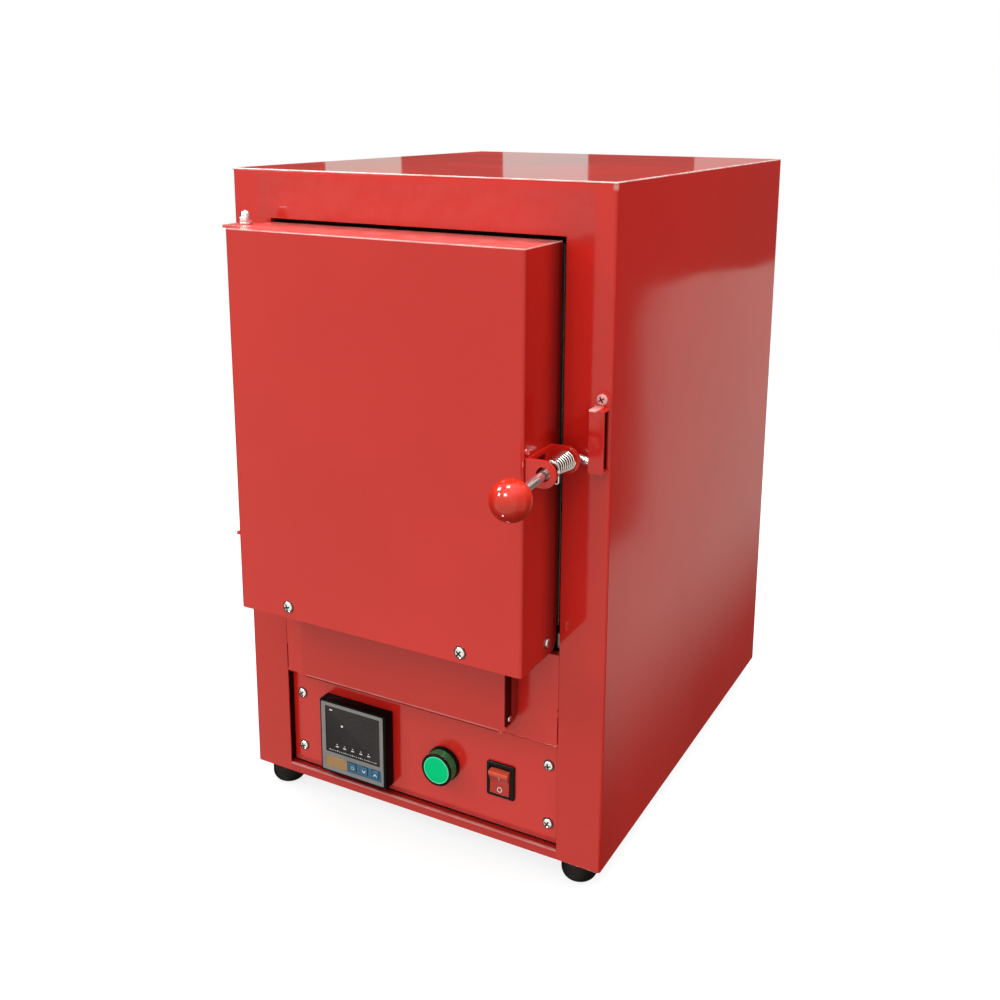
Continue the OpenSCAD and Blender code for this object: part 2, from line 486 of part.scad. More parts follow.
// ---------------------------------------------------------------- latch
ear_r = 10.6;
module ear(y) { difference() {
  union() {
    box([dw, y, rz - ear_r], [rx, y + 2.5, rz + ear_r]);
    ycyl([rx, y, rz], ear_r, 2.5);
  }
} }
module latch_bracket() { color(RED) difference() {
  union() {
    box([dw, -58, rz - ear_r], [dw + 2, -15, rz + ear_r]);
    ear(-58);
    ear(-17.5);
  }
  ycyl([rx, -60, rz], 5.5, 8);
  ycyl([rx, -30, rz], rod_d / 2 + 0.08, 20);
} }
// handle end of the rod's centre line, from the crank's bend on, for a bar of radius r
module handle_run(r, len) translate([rx, -50 - bend * sin(crank_a), rz - bend * (1 - cos(crank_a))])
  rotate([90 + crank_a, 0, 0]) cylinder(r = r, h = len, $fn = 48);
module latch_rod() { color(STEEL) {
  r = rod_d / 2; w = 0.03; // w: weld ridge where two lengths meet
  ycyl([rx, -50, rz], r, arm_y - bend + 50);
  ycyl([rx, -50.2, rz], r + w, 0.4);
  ycyl([rx, arm_y - bend - 0.2, rz], r + w, 0.4);
  // slight bend that lets the handle end droop
  translate([rx, -50, rz - bend]) rotate([0, -90, 180]) rotate_extrude(angle = crank_a, $fn = 96) translate([bend, 0]) circle(r = r, $fn = 48);
  handle_run(r, crank_l - ball_d / 2 + 6);
  handle_run(r + w, 0.2);
  // hook end: a quarter bend and the arm
  translate([rx, 0, rz]) rotate([0, hook_a, 0]) {
    translate([bend, arm_y - bend, 0]) rotate([0, 0, 90]) rotate_extrude(angle = 90, $fn = 96) translate([bend, 0]) circle(r = r, $fn = 48);
    translate([bend, arm_y, 0]) rotate([0, 90, 0]) cylinder(r = r, h = hook_l - bend - 1, $fn = 48);
    translate([bend - 0.2, arm_y, 0]) rotate([0, 90, 0]) cylinder(r = r + w, h = 0.4, $fn = 48);
    translate([hook_l - 1, arm_y, 0]) rotate([0, 90, 0]) cylinder(r1 = r, r2 = r - 1, h = 1, $fn = 48);
  }
  // cross pin that backs the washer
  translate([rx, -40.7, rz - 7]) cylinder(r = 1, h = 14, $fn = 24);
} }
module latch_ball() { color([0.82, 0.12, 0.1]) difference() {
  union() {
    translate([rx, ball_y, ball_z]) sphere(r = ball_d / 2, $fn = 96);
    translate([rx, ball_y, ball_z]) rotate([-90 + crank_a, 0, 0]) cylinder(r = 6.5, h = ball_d / 2 + 0.6, $fn = 48);
  }
  handle_run(rod_d / 2, crank_l - ball_d / 2 + 6);
} }
module latch_washer() { color(STEEL) difference() {
  ycyl([rx, -39.5, rz], 7.6, 1.6);
  ycyl([rx, -45, rz], rod_d / 2 + 0.08, 12);
} }
// helical compression spring swept round the rod axis
sp_r = 6.7; wire = 0.9; sy0 = -37; sy1 = -18.5; seg = 20; sides = 6;
function hp(i) = let (n = spring_turns * seg, a = 360 * i / seg) [rx + sp_r * cos(a), sy0 + (sy1 - sy0) * i / n, rz + sp_r * sin(a)];
function ring(i) = let (a = 360 * i / seg) [for (k = [0 : sides - 1]) let (b = 360 * k / sides)
  hp(i) + [wire * cos(b) * cos(a), wire * sin(b), wire * cos(b) * sin(a)]];
module latch_spring() { color([0.8, 0.81, 0.83]) {
  n = spring_turns * seg;
  polyhedron(points = [for (i = [0 : n]) each ring(i)],
    faces = concat([[for (k = [0 : sides - 1]) k]],
      [for (i = [0 : n - 1], k = [0 : sides - 1]) [i * sides + k, (i + 1) * sides + k, (i + 1) * sides + (k + 1) % sides, i * sides + (k + 1) % sides]],
      [[for (k = [sides - 1 : -1 : 0]) n * sides + k]]));
} }

place() case_wrap();
place() top_panel();
place() rear_panel();
place() base_panel();
place() mid_panel();
place() lower_cover();
place() control_panel();
place() compartment_shelf();
place() foot_front_left();
place() foot_front_right();
place() foot_rear_left();
place() foot_rear_right();
place() foot_screws();
place() floor_brick();
place() roof_brick();
place() left_brick();
place() right_brick();
place() back_brick();
place() hearth_tile();
place() element_left();
place() element_right();
place() element_bushes();
place() thermocouple();
place() hinge_brackets();
place() hinge_pins();
place() hinge_nuts();
place() strike();
place() case_screws();
place() cover_screws();
place() rear_screws();
place() controller_housing();
place() controller_bezel();
place() controller_window();
place() key_strip();
place() key_set();
place() key_down();
place() key_up();
place() pilot_body();
place() pilot_lens();
place() pilot_nut();
place() switch_housing();
place() switch_rocker();
place() switch_tabs();
place() relay();
place() heat_sink();
place() terminal_block();
place() cable_gland();
place() door_shell();
place() door_liner();
place() door_plug();
place() door_gasket();
place() hinge_leaves();
place() door_screws();
place() latch_bracket();
place() latch_rod();
place() latch_ball();
place() latch_washer();
place() latch_spring();
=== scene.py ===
import json
import math
import random

import bpy
import bmesh
from mathutils import Matrix, Vector

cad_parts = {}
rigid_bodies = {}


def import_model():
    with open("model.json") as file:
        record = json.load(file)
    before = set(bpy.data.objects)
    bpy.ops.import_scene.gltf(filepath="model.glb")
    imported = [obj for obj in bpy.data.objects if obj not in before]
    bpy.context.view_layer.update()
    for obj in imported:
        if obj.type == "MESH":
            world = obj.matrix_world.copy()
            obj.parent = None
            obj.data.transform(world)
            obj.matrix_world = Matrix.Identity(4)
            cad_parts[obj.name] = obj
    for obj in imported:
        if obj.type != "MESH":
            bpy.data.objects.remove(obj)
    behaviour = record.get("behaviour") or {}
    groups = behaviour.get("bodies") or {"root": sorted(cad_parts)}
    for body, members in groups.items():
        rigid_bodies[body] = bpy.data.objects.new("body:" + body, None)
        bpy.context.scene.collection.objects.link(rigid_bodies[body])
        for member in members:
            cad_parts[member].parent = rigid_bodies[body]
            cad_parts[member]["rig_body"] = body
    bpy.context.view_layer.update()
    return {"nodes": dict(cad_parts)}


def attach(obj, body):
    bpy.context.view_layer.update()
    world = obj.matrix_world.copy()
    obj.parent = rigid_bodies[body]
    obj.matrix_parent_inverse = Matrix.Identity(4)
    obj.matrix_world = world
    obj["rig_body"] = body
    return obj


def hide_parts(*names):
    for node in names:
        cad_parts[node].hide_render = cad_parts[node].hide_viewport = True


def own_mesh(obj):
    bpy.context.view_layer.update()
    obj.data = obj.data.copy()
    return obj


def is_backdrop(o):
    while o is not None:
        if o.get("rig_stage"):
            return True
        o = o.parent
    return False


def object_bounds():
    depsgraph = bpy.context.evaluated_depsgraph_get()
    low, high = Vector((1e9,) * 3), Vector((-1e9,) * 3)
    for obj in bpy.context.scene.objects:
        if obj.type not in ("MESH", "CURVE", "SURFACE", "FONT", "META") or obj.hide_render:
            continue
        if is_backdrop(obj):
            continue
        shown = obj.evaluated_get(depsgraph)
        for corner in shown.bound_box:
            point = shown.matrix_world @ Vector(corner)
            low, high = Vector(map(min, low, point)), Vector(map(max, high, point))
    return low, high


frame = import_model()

NODE = frame["nodes"]
SCENE = bpy.context.scene
rng = random.Random(11)

# All the shapes below are written in millimetres, with x = 0 in the middle of the
# cabinet, y = 0 on its front face and z = 0 on the underside of its case.
YC, ZF = 165.0, 19.0
TO_ROW = Matrix.Translation((0, -YC / 1000, ZF / 1000)) @ Matrix.Scale(0.001, 4)


def W(x, y, z):
    return Vector((x / 1000, (y - YC) / 1000, (z + ZF) / 1000))


# ------------------------------------------------------------------ materials
class Graph:
    """A principled material with a few short ways to wire procedural nodes."""

    def __init__(self, name, **sockets):
        self.mat = bpy.data.materials.new(name)
        self.mat.use_nodes = True
        self.nt = self.mat.node_tree
        self.bsdf = self.nt.nodes["Principled BSDF"]
        self.coord = self.nt.nodes.new("ShaderNodeTexCoord").outputs["Object"]
        self.normal = None
        for k, v in sockets.items():
            self.put(k, v)

    def put(self, key, value):
        names = {"color": "Base Color", "rough": "Roughness", "metal": "Metallic", "ior": "IOR", "coat": "Coat Weight",
                 "coat_rough": "Coat Roughness", "spec": "Specular IOR Level", "emit": "Emission Color",
                 "emit_strength": "Emission Strength", "sss": "Subsurface Weight", "sss_scale": "Subsurface Scale",
                 "transmission": "Transmission Weight", "sheen": "Sheen Weight", "aniso": "Anisotropic", "alpha": "Alpha"}
        sock = self.bsdf.inputs[names.get(key, key)]
        if isinstance(value, bpy.types.NodeSocket):
            self.nt.links.new(value, sock)
        elif isinstance(value, (tuple, list)):
            sock.default_value = (*value, 1.0) if len(value) == 3 else value
        else:
            sock.default_value = value

    def _in(self, sock, value):
        if isinstance(value, bpy.types.NodeSocket):
            self.nt.links.new(value, sock)
        elif isinstance(value, (tuple, list)) and len(value) == 3 and len(sock.default_value) == 4:
            sock.default_value = (*value, 1.0)
        else:
            sock.default_value = value

    def scaled(self, sx, sy, sz, src=None):
        n = self.nt.nodes.new("ShaderNodeMapping")
        self.nt.links.new(src or self.coord, n.inputs["Vector"])
        n.inputs["Scale"].default_value = (sx, sy, sz)
        return n.outputs["Vector"]

    def noise(self, scale, detail=2.0, rough=0.5, vec=None, distort=0.0):
        n = self.nt.nodes.new("ShaderNodeTexNoise")
        self.nt.links.new(vec or self.coord, n.inputs["Vector"])
        n.inputs["Scale"].default_value = scale
        n.inputs["Detail"].default_value = detail
        n.inputs["Roughness"].default_value = rough
        n.inputs["Distortion"].default_value = distort
        return n.outputs["Fac"]

    def voronoi(self, scale, feature="F1", vec=None, out="Distance", rand=1.0):
        n = self.nt.nodes.new("ShaderNodeTexVoronoi")
        n.feature = feature
        self.nt.links.new(vec or self.coord, n.inputs["Vector"])
        n.inputs["Scale"].default_value = scale
        n.inputs["Randomness"].default_value = rand
        return n.outputs[out]

    def wave(self, scale, axis="X", vec=None, distort=0.0):
        n = self.nt.nodes.new("ShaderNodeTexWave")
        n.bands_direction = axis
        self.nt.links.new(vec or self.coord, n.inputs["Vector"])
        n.inputs["Scale"].default_value = scale
        n.inputs["Distortion"].default_value = distort
        n.inputs["Detail"].default_value = 0
        return n.outputs["Fac"]

    def ramp(self, fac, lo, hi, a=0.0, b=1.0):
        n = self.nt.nodes.new("ShaderNodeMapRange")
        n.interpolation_type = "SMOOTHSTEP"
        self.nt.links.new(fac, n.inputs["Value"])
        n.inputs["From Min"].default_value = lo
        n.inputs["From Max"].default_value = hi
        n.inputs["To Min"].default_value = a
        n.inputs["To Max"].default_value = b
        return n.outputs["Result"]

    def math(self, op, a, b=0.0):
        n = self.nt.nodes.new("ShaderNodeMath")
        n.operation = op
        self._in(n.inputs[0], a)
        self._in(n.inputs[1], b)
        return n.outputs[0]

    def within(self, at, half, soft):
        """1 inside a box given in millimetres, falling to 0 over the soft edge."""
        sep = self.nt.nodes.new("ShaderNodeSeparateXYZ")
        self.nt.links.new(self.coord, sep.inputs[0])
        c = (at[0] / 1000, (at[1] - YC) / 1000, (at[2] + ZF) / 1000)
        out = None
        for k in range(3):
            off = self.math("ABSOLUTE", self.math("SUBTRACT", sep.outputs[k], c[k]))
            v = self.ramp(off, half[k] / 1000, (half[k] + soft) / 1000, 1.0, 0.0)
            out = v if out is None else self.math("MULTIPLY", out, v)
        return out

    def mix(self, fac, a, b, mode="MIX"):
        n = self.nt.nodes.new("ShaderNodeMix")
        n.data_type = "RGBA"
        n.blend_type = mode
        self._in(n.inputs[0], fac)
        self._in(n.inputs[6], a)
        self._in(n.inputs[7], b)
        return n.outputs[2]

    def pointy(self):
        return self.nt.nodes.new("ShaderNodeNewGeometry").outputs["Pointiness"]

    def bump(self, height, distance, strength=1.0):
        n = self.nt.nodes.new("ShaderNodeBump")
        n.inputs["Distance"].default_value = distance
        n.inputs["Strength"].default_value = strength
        self.nt.links.new(height, n.inputs["Height"])
        if self.normal is not None:
            self.nt.links.new(self.normal, n.inputs["Normal"])
        self.normal = n.outputs["Normal"]
        self.nt.links.new(self.normal, self.bsdf.inputs["Normal"])


def red_paint(name, base=(0.62, 0.0152, 0.0090), dark=(0.575, 0.0130, 0.0074), rough=(0.06, 0.105), wavy=1.6e-4, shade=(), painted_highlights=()):
    """Sprayed gloss enamel on sheet steel: slow tint drift, faint orange peel, handling haze.
    shade lists boxes (centre, half size, soft edge, depth) in millimetres where painted shade darkens it;
    the other list holds boxes, mostly along edges, where a painted highlight makes it pale."""
    g = Graph(name, ior=1.5)
    tint = g.noise(4.0, 3, 0.55)
    fine = g.noise(420.0, 2, 0.6)
    col = g.mix(g.ramp(tint, 0.35, 0.65), dark, base)
    col = g.mix(g.ramp(fine, 0.2, 0.8, 0.0, 0.10), col, (0.70, 0.030, 0.022))
    specks = g.voronoi(330.0)
    col = g.mix(g.ramp(specks, 0.035, 0.055, 0.16, 0.0), col, (0.30, 0.006, 0.005))
    spec = None
    # painted shade: each shade box darkens the colour and weakens the reflection, in place of shadow
    for at, half, soft, depth in shade:
        m = g.within(at, half, soft)
        col = g.mix(g.math("MULTIPLY", m, depth), col, (0.012, 0.0006, 0.0005))
        keep = g.math("SUBTRACT", 1.0, g.math("MULTIPLY", m, depth))
        spec = keep if spec is None else g.math("MULTIPLY", spec, keep)
    if spec is not None:
        g.put("spec", g.math("MULTIPLY", spec, 0.5))
    # painted highlights: each box lifts the colour towards pale pink, in place of light caught on edges and faces
    for at, half, soft, depth in painted_highlights:
        highlight_mask = g.math("MULTIPLY", g.within(at, half, soft), g.ramp(g.noise(60.0, 3), 0.30, 0.62, 0.55 * depth, depth))
        col = g.mix(highlight_mask, col, (0.93, 0.70, 0.66))
    g.put("color", col)
    smear = g.noise(9.0, 5, 0.6, g.scaled(1, 1, 0.45))
    g.put("rough", g.ramp(smear, 0.38, 0.68, rough[0], rough[1]))
    g.bump(g.noise(3.6, 1, 0.4), wavy)
    g.bump(g.noise(230.0, 2, 0.5), 4.2e-6)
    g.bump(g.noise(620.0, 1, 0.5), 1.6e-6)
    return g.mat


def plated(name, base=(0.80, 0.78, 0.74), rough=(0.14, 0.24), stain=(0.42, 0.35, 0.26), grain=0.0):
    """Bright zinc or nickel plating with handling stains and fine turning marks."""
    g = Graph(name, metal=1.0)
    blot = g.noise(160.0, 4, 0.65)
    col = g.mix(g.ramp(blot, 0.58, 0.78, 0.0, 0.55), base, stain)
    col = g.mix(g.ramp(g.noise(900.0, 2), 0.3, 0.7, 0.0, 0.18), col, (0.55, 0.53, 0.50))
    g.put("color", col)
    g.put("rough", g.ramp(g.noise(380.0, 3), 0.3, 0.7, rough[0], rough[1]))
    g.bump(g.noise(1500.0, 2), 3.0e-6 + grain)
    return g.mat


def bar_metal(name):
    """Dull drawn bar with lengthwise marks; painted shade makes it near black where it runs inside the spring."""
    g = Graph(name, metal=0.9, spec=0.5)
    col = g.mix(g.ramp(g.noise(240.0, 2, 0.5, g.scaled(1, 0.06, 1)), 0.35, 0.7), (0.82, 0.78, 0.75), (0.66, 0.61, 0.58))
    # painted shade: the bar turns near black and matt inside the spring
    spring_shade = g.within((149.5, -30.3, 354.0), (9.0, 13.8, 9.0), 1.2)
    col = g.mix(spring_shade, col, (0.016, 0.011, 0.009))
    g.put("color", col)
    g.put("metal", g.ramp(spring_shade, 0.0, 1.0, 0.9, 0.0))
    g.put("spec", g.ramp(spring_shade, 0.0, 1.0, 0.5, 0.1))
    g.put("rough", g.ramp(g.noise(380.0, 3, 0.5, g.scaled(1, 0.1, 1)), 0.3, 0.7, 0.14, 0.22))
    g.bump(g.noise(900.0, 2, 0.5, g.scaled(1, 0.1, 1)), 6.0e-6)
    return g.mat


def zinc_sheet(name):
    g = Graph(name, metal=1.0)
    cell = g.voronoi(95.0, vec=g.scaled(1, 1.4, 1), out="Color")
    sep = g.nt.nodes.new("ShaderNodeSeparateColor")
    g.nt.links.new(cell, sep.inputs["Color"])
    spangle = sep.outputs["Red"]
    # painted shade: the strip of the base seen through the gap beside the control panel is painted near-black red, not
    # metal
    base_gap_shade = g.within((0, 8, 50), (180, 3.2, 54), 0.4)
    g.put("color", g.mix(base_gap_shade, g.mix(spangle, (0.52, 0.54, 0.56), (0.66, 0.68, 0.70)), (0.050, 0.0030, 0.0025)))
    g.put("metal", g.math("SUBTRACT", 1.0, base_gap_shade))
    g.put("spec", g.ramp(base_gap_shade, 0.0, 1.0, 0.5, 0.08))
    g.put("rough", g.ramp(spangle, 0.0, 1.0, 0.34, 0.50))
    g.bump(g.noise(260.0, 3), 1.2e-5)
    return g.mat


def rubber(name):
    g = Graph(name, spec=0.16)
    g.put("color", g.mix(g.ramp(g.noise(90.0, 4), 0.35, 0.75), (0.0050, 0.0028, 0.0022), (0.011, 0.0062, 0.0045)))
    g.put("rough", g.ramp(g.noise(220.0, 3), 0.3, 0.7, 0.42, 0.62))
    g.bump(g.noise(700.0, 3), 2.5e-5)
    return g.mat


def door_gap_shade(g, col):
    """Painted shade: the front faces seen through the door gap, outside the door's outline, are painted near black,
    with one thin line left lighter.
    """
    front = g.within((0, 8, 250), (200, 5.5, 400), 0.6)
    clear = g.within((0, 8, 358.5), (131.2, 60, 154), 0.3)
    line = g.math("MAXIMUM", g.within((134.5, 8, 356), (0.4, 60, 160), 0.2), g.within((132.6, 8, 191), (1.3, 60, 6), 0.6))
    # painted shade in the door gap; inside the line the darkening is cut to a fifth
    door_gap_mask = g.math("MULTIPLY", front, g.math("SUBTRACT", 1.0, clear))
    keep = g.math("SUBTRACT", 1.0, g.math("MULTIPLY", line, 0.8))
    return g.mix(g.math("MULTIPLY", door_gap_mask, keep), col, (0.006, 0.0035, 0.003))


def firebrick(name, tone=1.0, pores=1.0):
    """Soft insulating brick: open pores, slight iron stains and sanded grain."""
    g = Graph(name, spec=0.15)
    blot = g.noise(14.0, 5, 0.6)
    col = g.mix(g.ramp(blot, 0.35, 0.7), (0.80 * tone, 0.735 * tone, 0.62 * tone), (0.70 * tone, 0.60 * tone, 0.46 * tone))
    pore = g.voronoi(360.0)
    big = g.voronoi(140.0)
    hole = g.math("MAXIMUM", g.ramp(pore, 0.14, 0.24, 1.0, 0.0), g.ramp(big, 0.10, 0.16, 1.0, 0.0))
    col = g.mix(g.math("MULTIPLY", hole, 0.5 * pores), col, (0.34, 0.26, 0.17))
    col = g.mix(g.ramp(g.noise(520.0, 2), 0.66, 0.74, 0.0, 0.4), col, (0.38, 0.22, 0.12))
    # painted shade where the brick shows through the door gap
    g.put("color", door_gap_shade(g, col))
    g.put("rough", 0.92)
    g.bump(g.ramp(pore, 0.12, 0.30), 4.5e-4 * pores)
    g.bump(g.ramp(big, 0.08, 0.20), 6.0e-4 * pores)
    g.bump(g.noise(900.0, 3), 8.0e-5)
    return g.mat


def fibre_board(name, tone=1.0):
    g = Graph(name, spec=0.12, sheen=0.15)
    streak = g.noise(90.0, 5, 0.7, g.scaled(1, 1, 4.0), 0.6)
    col = g.mix(g.ramp(streak, 0.35, 0.7), (0.86 * tone, 0.84 * tone, 0.78 * tone), (0.74 * tone, 0.70 * tone, 0.61 * tone))
    col = g.mix(g.ramp(g.noise(9.0, 3), 0.5, 0.8, 0.0, 0.45), col, (0.62 * tone, 0.54 * tone, 0.42 * tone))
    g.put("color", col)
    g.put("rough", 0.95)
    g.bump(streak, 3.0e-4)
    g.bump(g.noise(800.0, 3), 1.2e-4)
    return g.mat


def ceramic(name, base=(0.80, 0.76, 0.68), rough=0.6):
    g = Graph(name, spec=0.3)
    col = g.mix(g.ramp(g.noise(60.0, 4), 0.35, 0.7), base, tuple(c * 0.86 for c in base))
    col = g.mix(g.ramp(g.voronoi(700.0), 0.04, 0.08, 0.5, 0.0), col, (0.35, 0.27, 0.2))
    g.put("color", col)
    g.put("rough", g.ramp(g.noise(200.0, 3), 0.3, 0.7, rough - 0.08, rough + 0.1))
    g.bump(g.noise(600.0, 3), 2.5e-5)
    return g.mat


def plastic(name, base, rough=(0.30, 0.42), grain=6.0e-6, scale=900.0, shade=0.72, **more):
    g = Graph(name, **more)
    g.put("color", g.mix(g.ramp(g.noise(45.0, 4), 0.35, 0.7), base, tuple(c * shade for c in base)))
    g.put("rough", g.ramp(g.noise(150.0, 3), 0.3, 0.7, rough[0], rough[1]))
    g.bump(g.noise(scale, 2), grain)
    return g.mat


def rocker_plastic(name):
    """Clear red plastic of the rocker, with a painted highlight: the raised upper lip is painted lighter and more
    orange.
    """
    g = Graph(name, spec=0.22)
    col = g.mix(g.ramp(g.noise(45.0, 4), 0.35, 0.7), (0.47, 0.034, 0.021), (0.43, 0.030, 0.019))
    # painted highlight on the upper lip
    lip_highlight = g.within((82, 1.4, 60.8), (12, 8, 2.2), 1.6)
    col = g.mix(g.math("MULTIPLY", lip_highlight, 0.85), col, (0.80, 0.105, 0.050))
    g.put("color", col)
    g.put("rough", g.ramp(g.noise(150.0, 3), 0.3, 0.7, 0.40, 0.48))
    g.bump(g.noise(900.0, 2), 3.0e-6)
    return g.mat


def wire_metal(name):
    g = Graph(name, metal=0.7)
    g.put("color", g.mix(g.ramp(g.noise(120.0, 4), 0.35, 0.7), (0.16, 0.13, 0.11), (0.30, 0.27, 0.25)))
    g.put("rough", g.ramp(g.noise(400.0, 2), 0.3, 0.7, 0.45, 0.65))
    g.bump(g.noise(1600.0, 2), 2.0e-5)
    return g.mat


M = {
    "paint": red_paint("red_enamel"),
    # painted shade in the strike's slot, on the ledge and sill front, over the top rail and darker towards the bottom;
    # painted highlights along the ledge lip, the top front and top right edges, the top corner and faintly over the
    # rail
    "paint_case": red_paint("red_enamel_case", shade=(((169.4, 0.5, 369), (4.4, 1.5, 24.5), 0.9, 0.9), ((0, 4.3, 8.5), (137.6, 3.7, 0.3), 0.2, 0.45), ((0, 0, 3.6), (137.6, 1.0, 3.0), 1.4, 0.12),
                                                                  ((5, 0, 535), (150, 1.5, 14), 12, 0.16), ((0, 0, 70), (178, 1.5, 70), 60, 0.12)),
                            painted_highlights=(((5, 0, 535), (150, 1.5, 14), 12, 0.03), ((0, 0.4, 8.3), (137.6, 1.3, 0.7), 0.5, 0.30), ((0, 0.6, 560.2), (178, 1.6, 0.9), 0.35, 0.9), ((177.2, 217, 560.2), (1.5, 219, 0.9), 0.35, 0.8),
                                  ((177.2, 0.2, 559), (0.9, 0.9, 3), 3.0, 0.4))),
    # painted shade on the cover's right flange, in a dark line along its bottom edge and faintly over its front; a
    # painted highlight line just above that edge
    "paint_cover": red_paint("red_enamel_cover", shade=(((101.2, -16.5, 164), (0.8, 4.0, 42), 1.5, 0.93), ((101.2, -7, 164), (0.8, 7.0, 42), 1.0, 0.5),
                                                        ((-3, -20.3, 115.0), (97, 1.0, 0.9), 0.35, 0.75),
                                                        ((-3, -20, 150), (100, 3, 60), 3, 0.09)),
                             painted_highlights=(((-3, -20.5, 116.9), (97, 0.4, 0.4), 0.3, 0.2),)),
    # painted shade on the door's side, darker towards the gap; painted highlights along the top front and top right
    # edges and faintly over the top face
    "paint_door": red_paint("red_enamel_door", shade=(((135.3, 2, 355), (0.5, 6, 170), 30, 0.62), ((135.3, -30, 355), (0.4, 32, 170), 0.3, 0.18)),
                            painted_highlights=(((0, -60.6, 516.0), (136, 0.9, 0.7), 0.3, 0.6), ((135.3, -30, 516.0), (0.8, 32, 0.7), 0.3, 0.45),
                                  ((0, -30, 516.2), (160, 31, 0.35), 0.2, 0.17))),
    # painted shade along the foot of the control panel above the ledge, with a faint pale painted sheen in the same box
    "paint_panel": red_paint("red_enamel_panel", rough=(0.12, 0.18), wavy=5.0e-5, shade=(((0, 7.2, 9.5), (137.6, 0.7, 2.6), 2.5, 0.28),),
                             painted_highlights=(((0, 7.2, 9.5), (137.6, 0.7, 2.6), 2.5, 0.06),)),
    # painted shade on the latch bracket behind and inside the ear's hole; painted highlights on the strike's top lip
    # and on the hinge leaf's top
    "paint_small": red_paint("red_enamel_fittings", rough=(0.10, 0.16), wavy=3.0e-5, shade=(((137.5, -41, 352.5), (1.2, 11, 7), 2.5, 0.85), ((149.5, -56.1, 354), (6.0, 1.2, 6.0), 0.2, 0.9)),
                             painted_highlights=(((165.5, -7, 394.0), (6, 7, 0.5), 0.3, 0.55), ((165.5, -12.4, 393.4), (4.5, 0.5, 0.9), 0.3, 0.75), ((-150, -30, 515.5), (12, 32, 1.2), 0.4, 0.17))),
    # painted highlights: the strike screw's head is painted pale in patches, in place of glints
    "paint_glint": red_paint("red_enamel_glints", rough=(0.08, 0.14), wavy=3.0e-5, painted_highlights=(((170.7, -3, 400), (6, 4, 6), 1.0, 0.58),)),
    # painted shade: darker red enamel for the inside of a screw's cross recess
    "paint_recess_shade": red_paint("red_enamel_recess_shade", base=(0.34, 0.008, 0.006), dark=(0.26, 0.006, 0.005), rough=(0.2, 0.3), wavy=3.0e-5),
    "plated": plated("bright_plating", base=(0.90, 0.85, 0.86), rough=(0.10, 0.18), stain=(0.30, 0.23, 0.17)),
    "spring": plated("spring_wire", base=(1.0, 0.96, 0.93), rough=(0.08, 0.14), stain=(0.60, 0.52, 0.42)),
    "rod": bar_metal("rod_plating"),
    "recess": plated("recess_shadow", base=(0.014, 0.010, 0.008), rough=(0.5, 0.65), stain=(0.008, 0.005, 0.004)),
    "zinc": zinc_sheet("zinc_sheet"),
    "rubber": rubber("foot_rubber"),
    "brick": firebrick("fire_brick"),
    "brick_b": firebrick("fire_brick_back", tone=0.95),
    "fibre": fibre_board("fibre_board"),
    "gasket": fibre_board("gasket_rope", tone=1.04),
    "ceramic": ceramic("kiln_ceramic"),
    "tile": ceramic("hearth_ceramic", base=(0.74, 0.69, 0.60), rough=0.7),
    "element": wire_metal("element_wire"),
    "black": plastic("black_plastic", (0.0030, 0.0028, 0.0026), (0.42, 0.56), spec=0.22),
    "bezel": plastic("bezel_black", (0.0020, 0.0018, 0.0017), (0.40, 0.5), spec=0.06),
    "black_gloss": plastic("black_gloss_plastic", (0.0040, 0.0037, 0.0034), (0.26, 0.38), spec=0.12),
    "face": plastic("controller_face", (0.225, 0.205, 0.20), (0.30, 0.40), shade=0.85),
    "window": plastic("smoked_window", (0.026, 0.019, 0.020), (0.30, 0.38), 1.5e-6, shade=0.86, spec=0.26),
    "blue": plastic("key_film_blue", (0.018, 0.108, 0.198), (0.28, 0.38), 2.0e-6, shade=0.9),
    "gold": plastic("label_film_gold", (0.37, 0.195, 0.067), (0.26, 0.34), 2.0e-6, shade=0.88),
    "ink": plastic("white_ink", (0.80, 0.80, 0.78), (0.45, 0.55), 1.0e-6, shade=0.95),
    "led_off": plastic("display_segment", (0.0195, 0.0195, 0.0190), (0.30, 0.36), 1.0e-6, shade=0.95, spec=0.22),
    "lamp_rim": plastic("lamp_rim_green", (0.13, 0.74, 0.40), (0.18, 0.26), 3.0e-6, 1400.0, 0.95, emit=(0.05, 0.6, 0.25), emit_strength=0.25),
    "lamp_face": plastic("lamp_face_green", (0.0005, 0.53, 0.185), (0.30, 0.38), 6.0e-6, 1400.0, 0.95, emit=(0.0, 0.56, 0.17), emit_strength=0.16, spec=0.03),
    "rocker": rocker_plastic("rocker_red"),
    "brass": plated("tab_brass", base=(0.72, 0.52, 0.22), stain=(0.35, 0.20, 0.08)),
    "relay": plastic("relay_plastic", (0.70, 0.69, 0.64), (0.4, 0.5)),
    "alu": plated("bare_aluminium", base=(0.76, 0.77, 0.78), rough=(0.32, 0.45), stain=(0.55, 0.55, 0.55)),
    "term": ceramic("terminal_ceramic", base=(0.82, 0.78, 0.68), rough=0.45),
    "dark_steel": plated("liner_steel", base=(0.20, 0.19, 0.185), rough=(0.42, 0.55), stain=(0.12, 0.08, 0.06)),
    "ball": plastic("ball_red", (0.56, 0.022, 0.009), (0.06, 0.09), 1.6e-6, 500.0, 0.94, spec=0.5, sss=0.35, sss_scale=0.012),
}


def lens_green(name):
    """Tinted, ribbed lens: light goes into it and comes out green."""
    g = Graph(name, ior=1.49, rough=0.16, transmission=0.12, sss=0.0, spec=0.6)
    g.put("color", g.mix(g.ramp(g.noise(120.0, 3), 0.3, 0.7), (0.004, 0.33, 0.105), (0.002, 0.20, 0.065)))
    g.bump(g.noise(700.0, 2), 8.0e-6)
    return g.mat


M["lens"] = lens_green("lens_green")


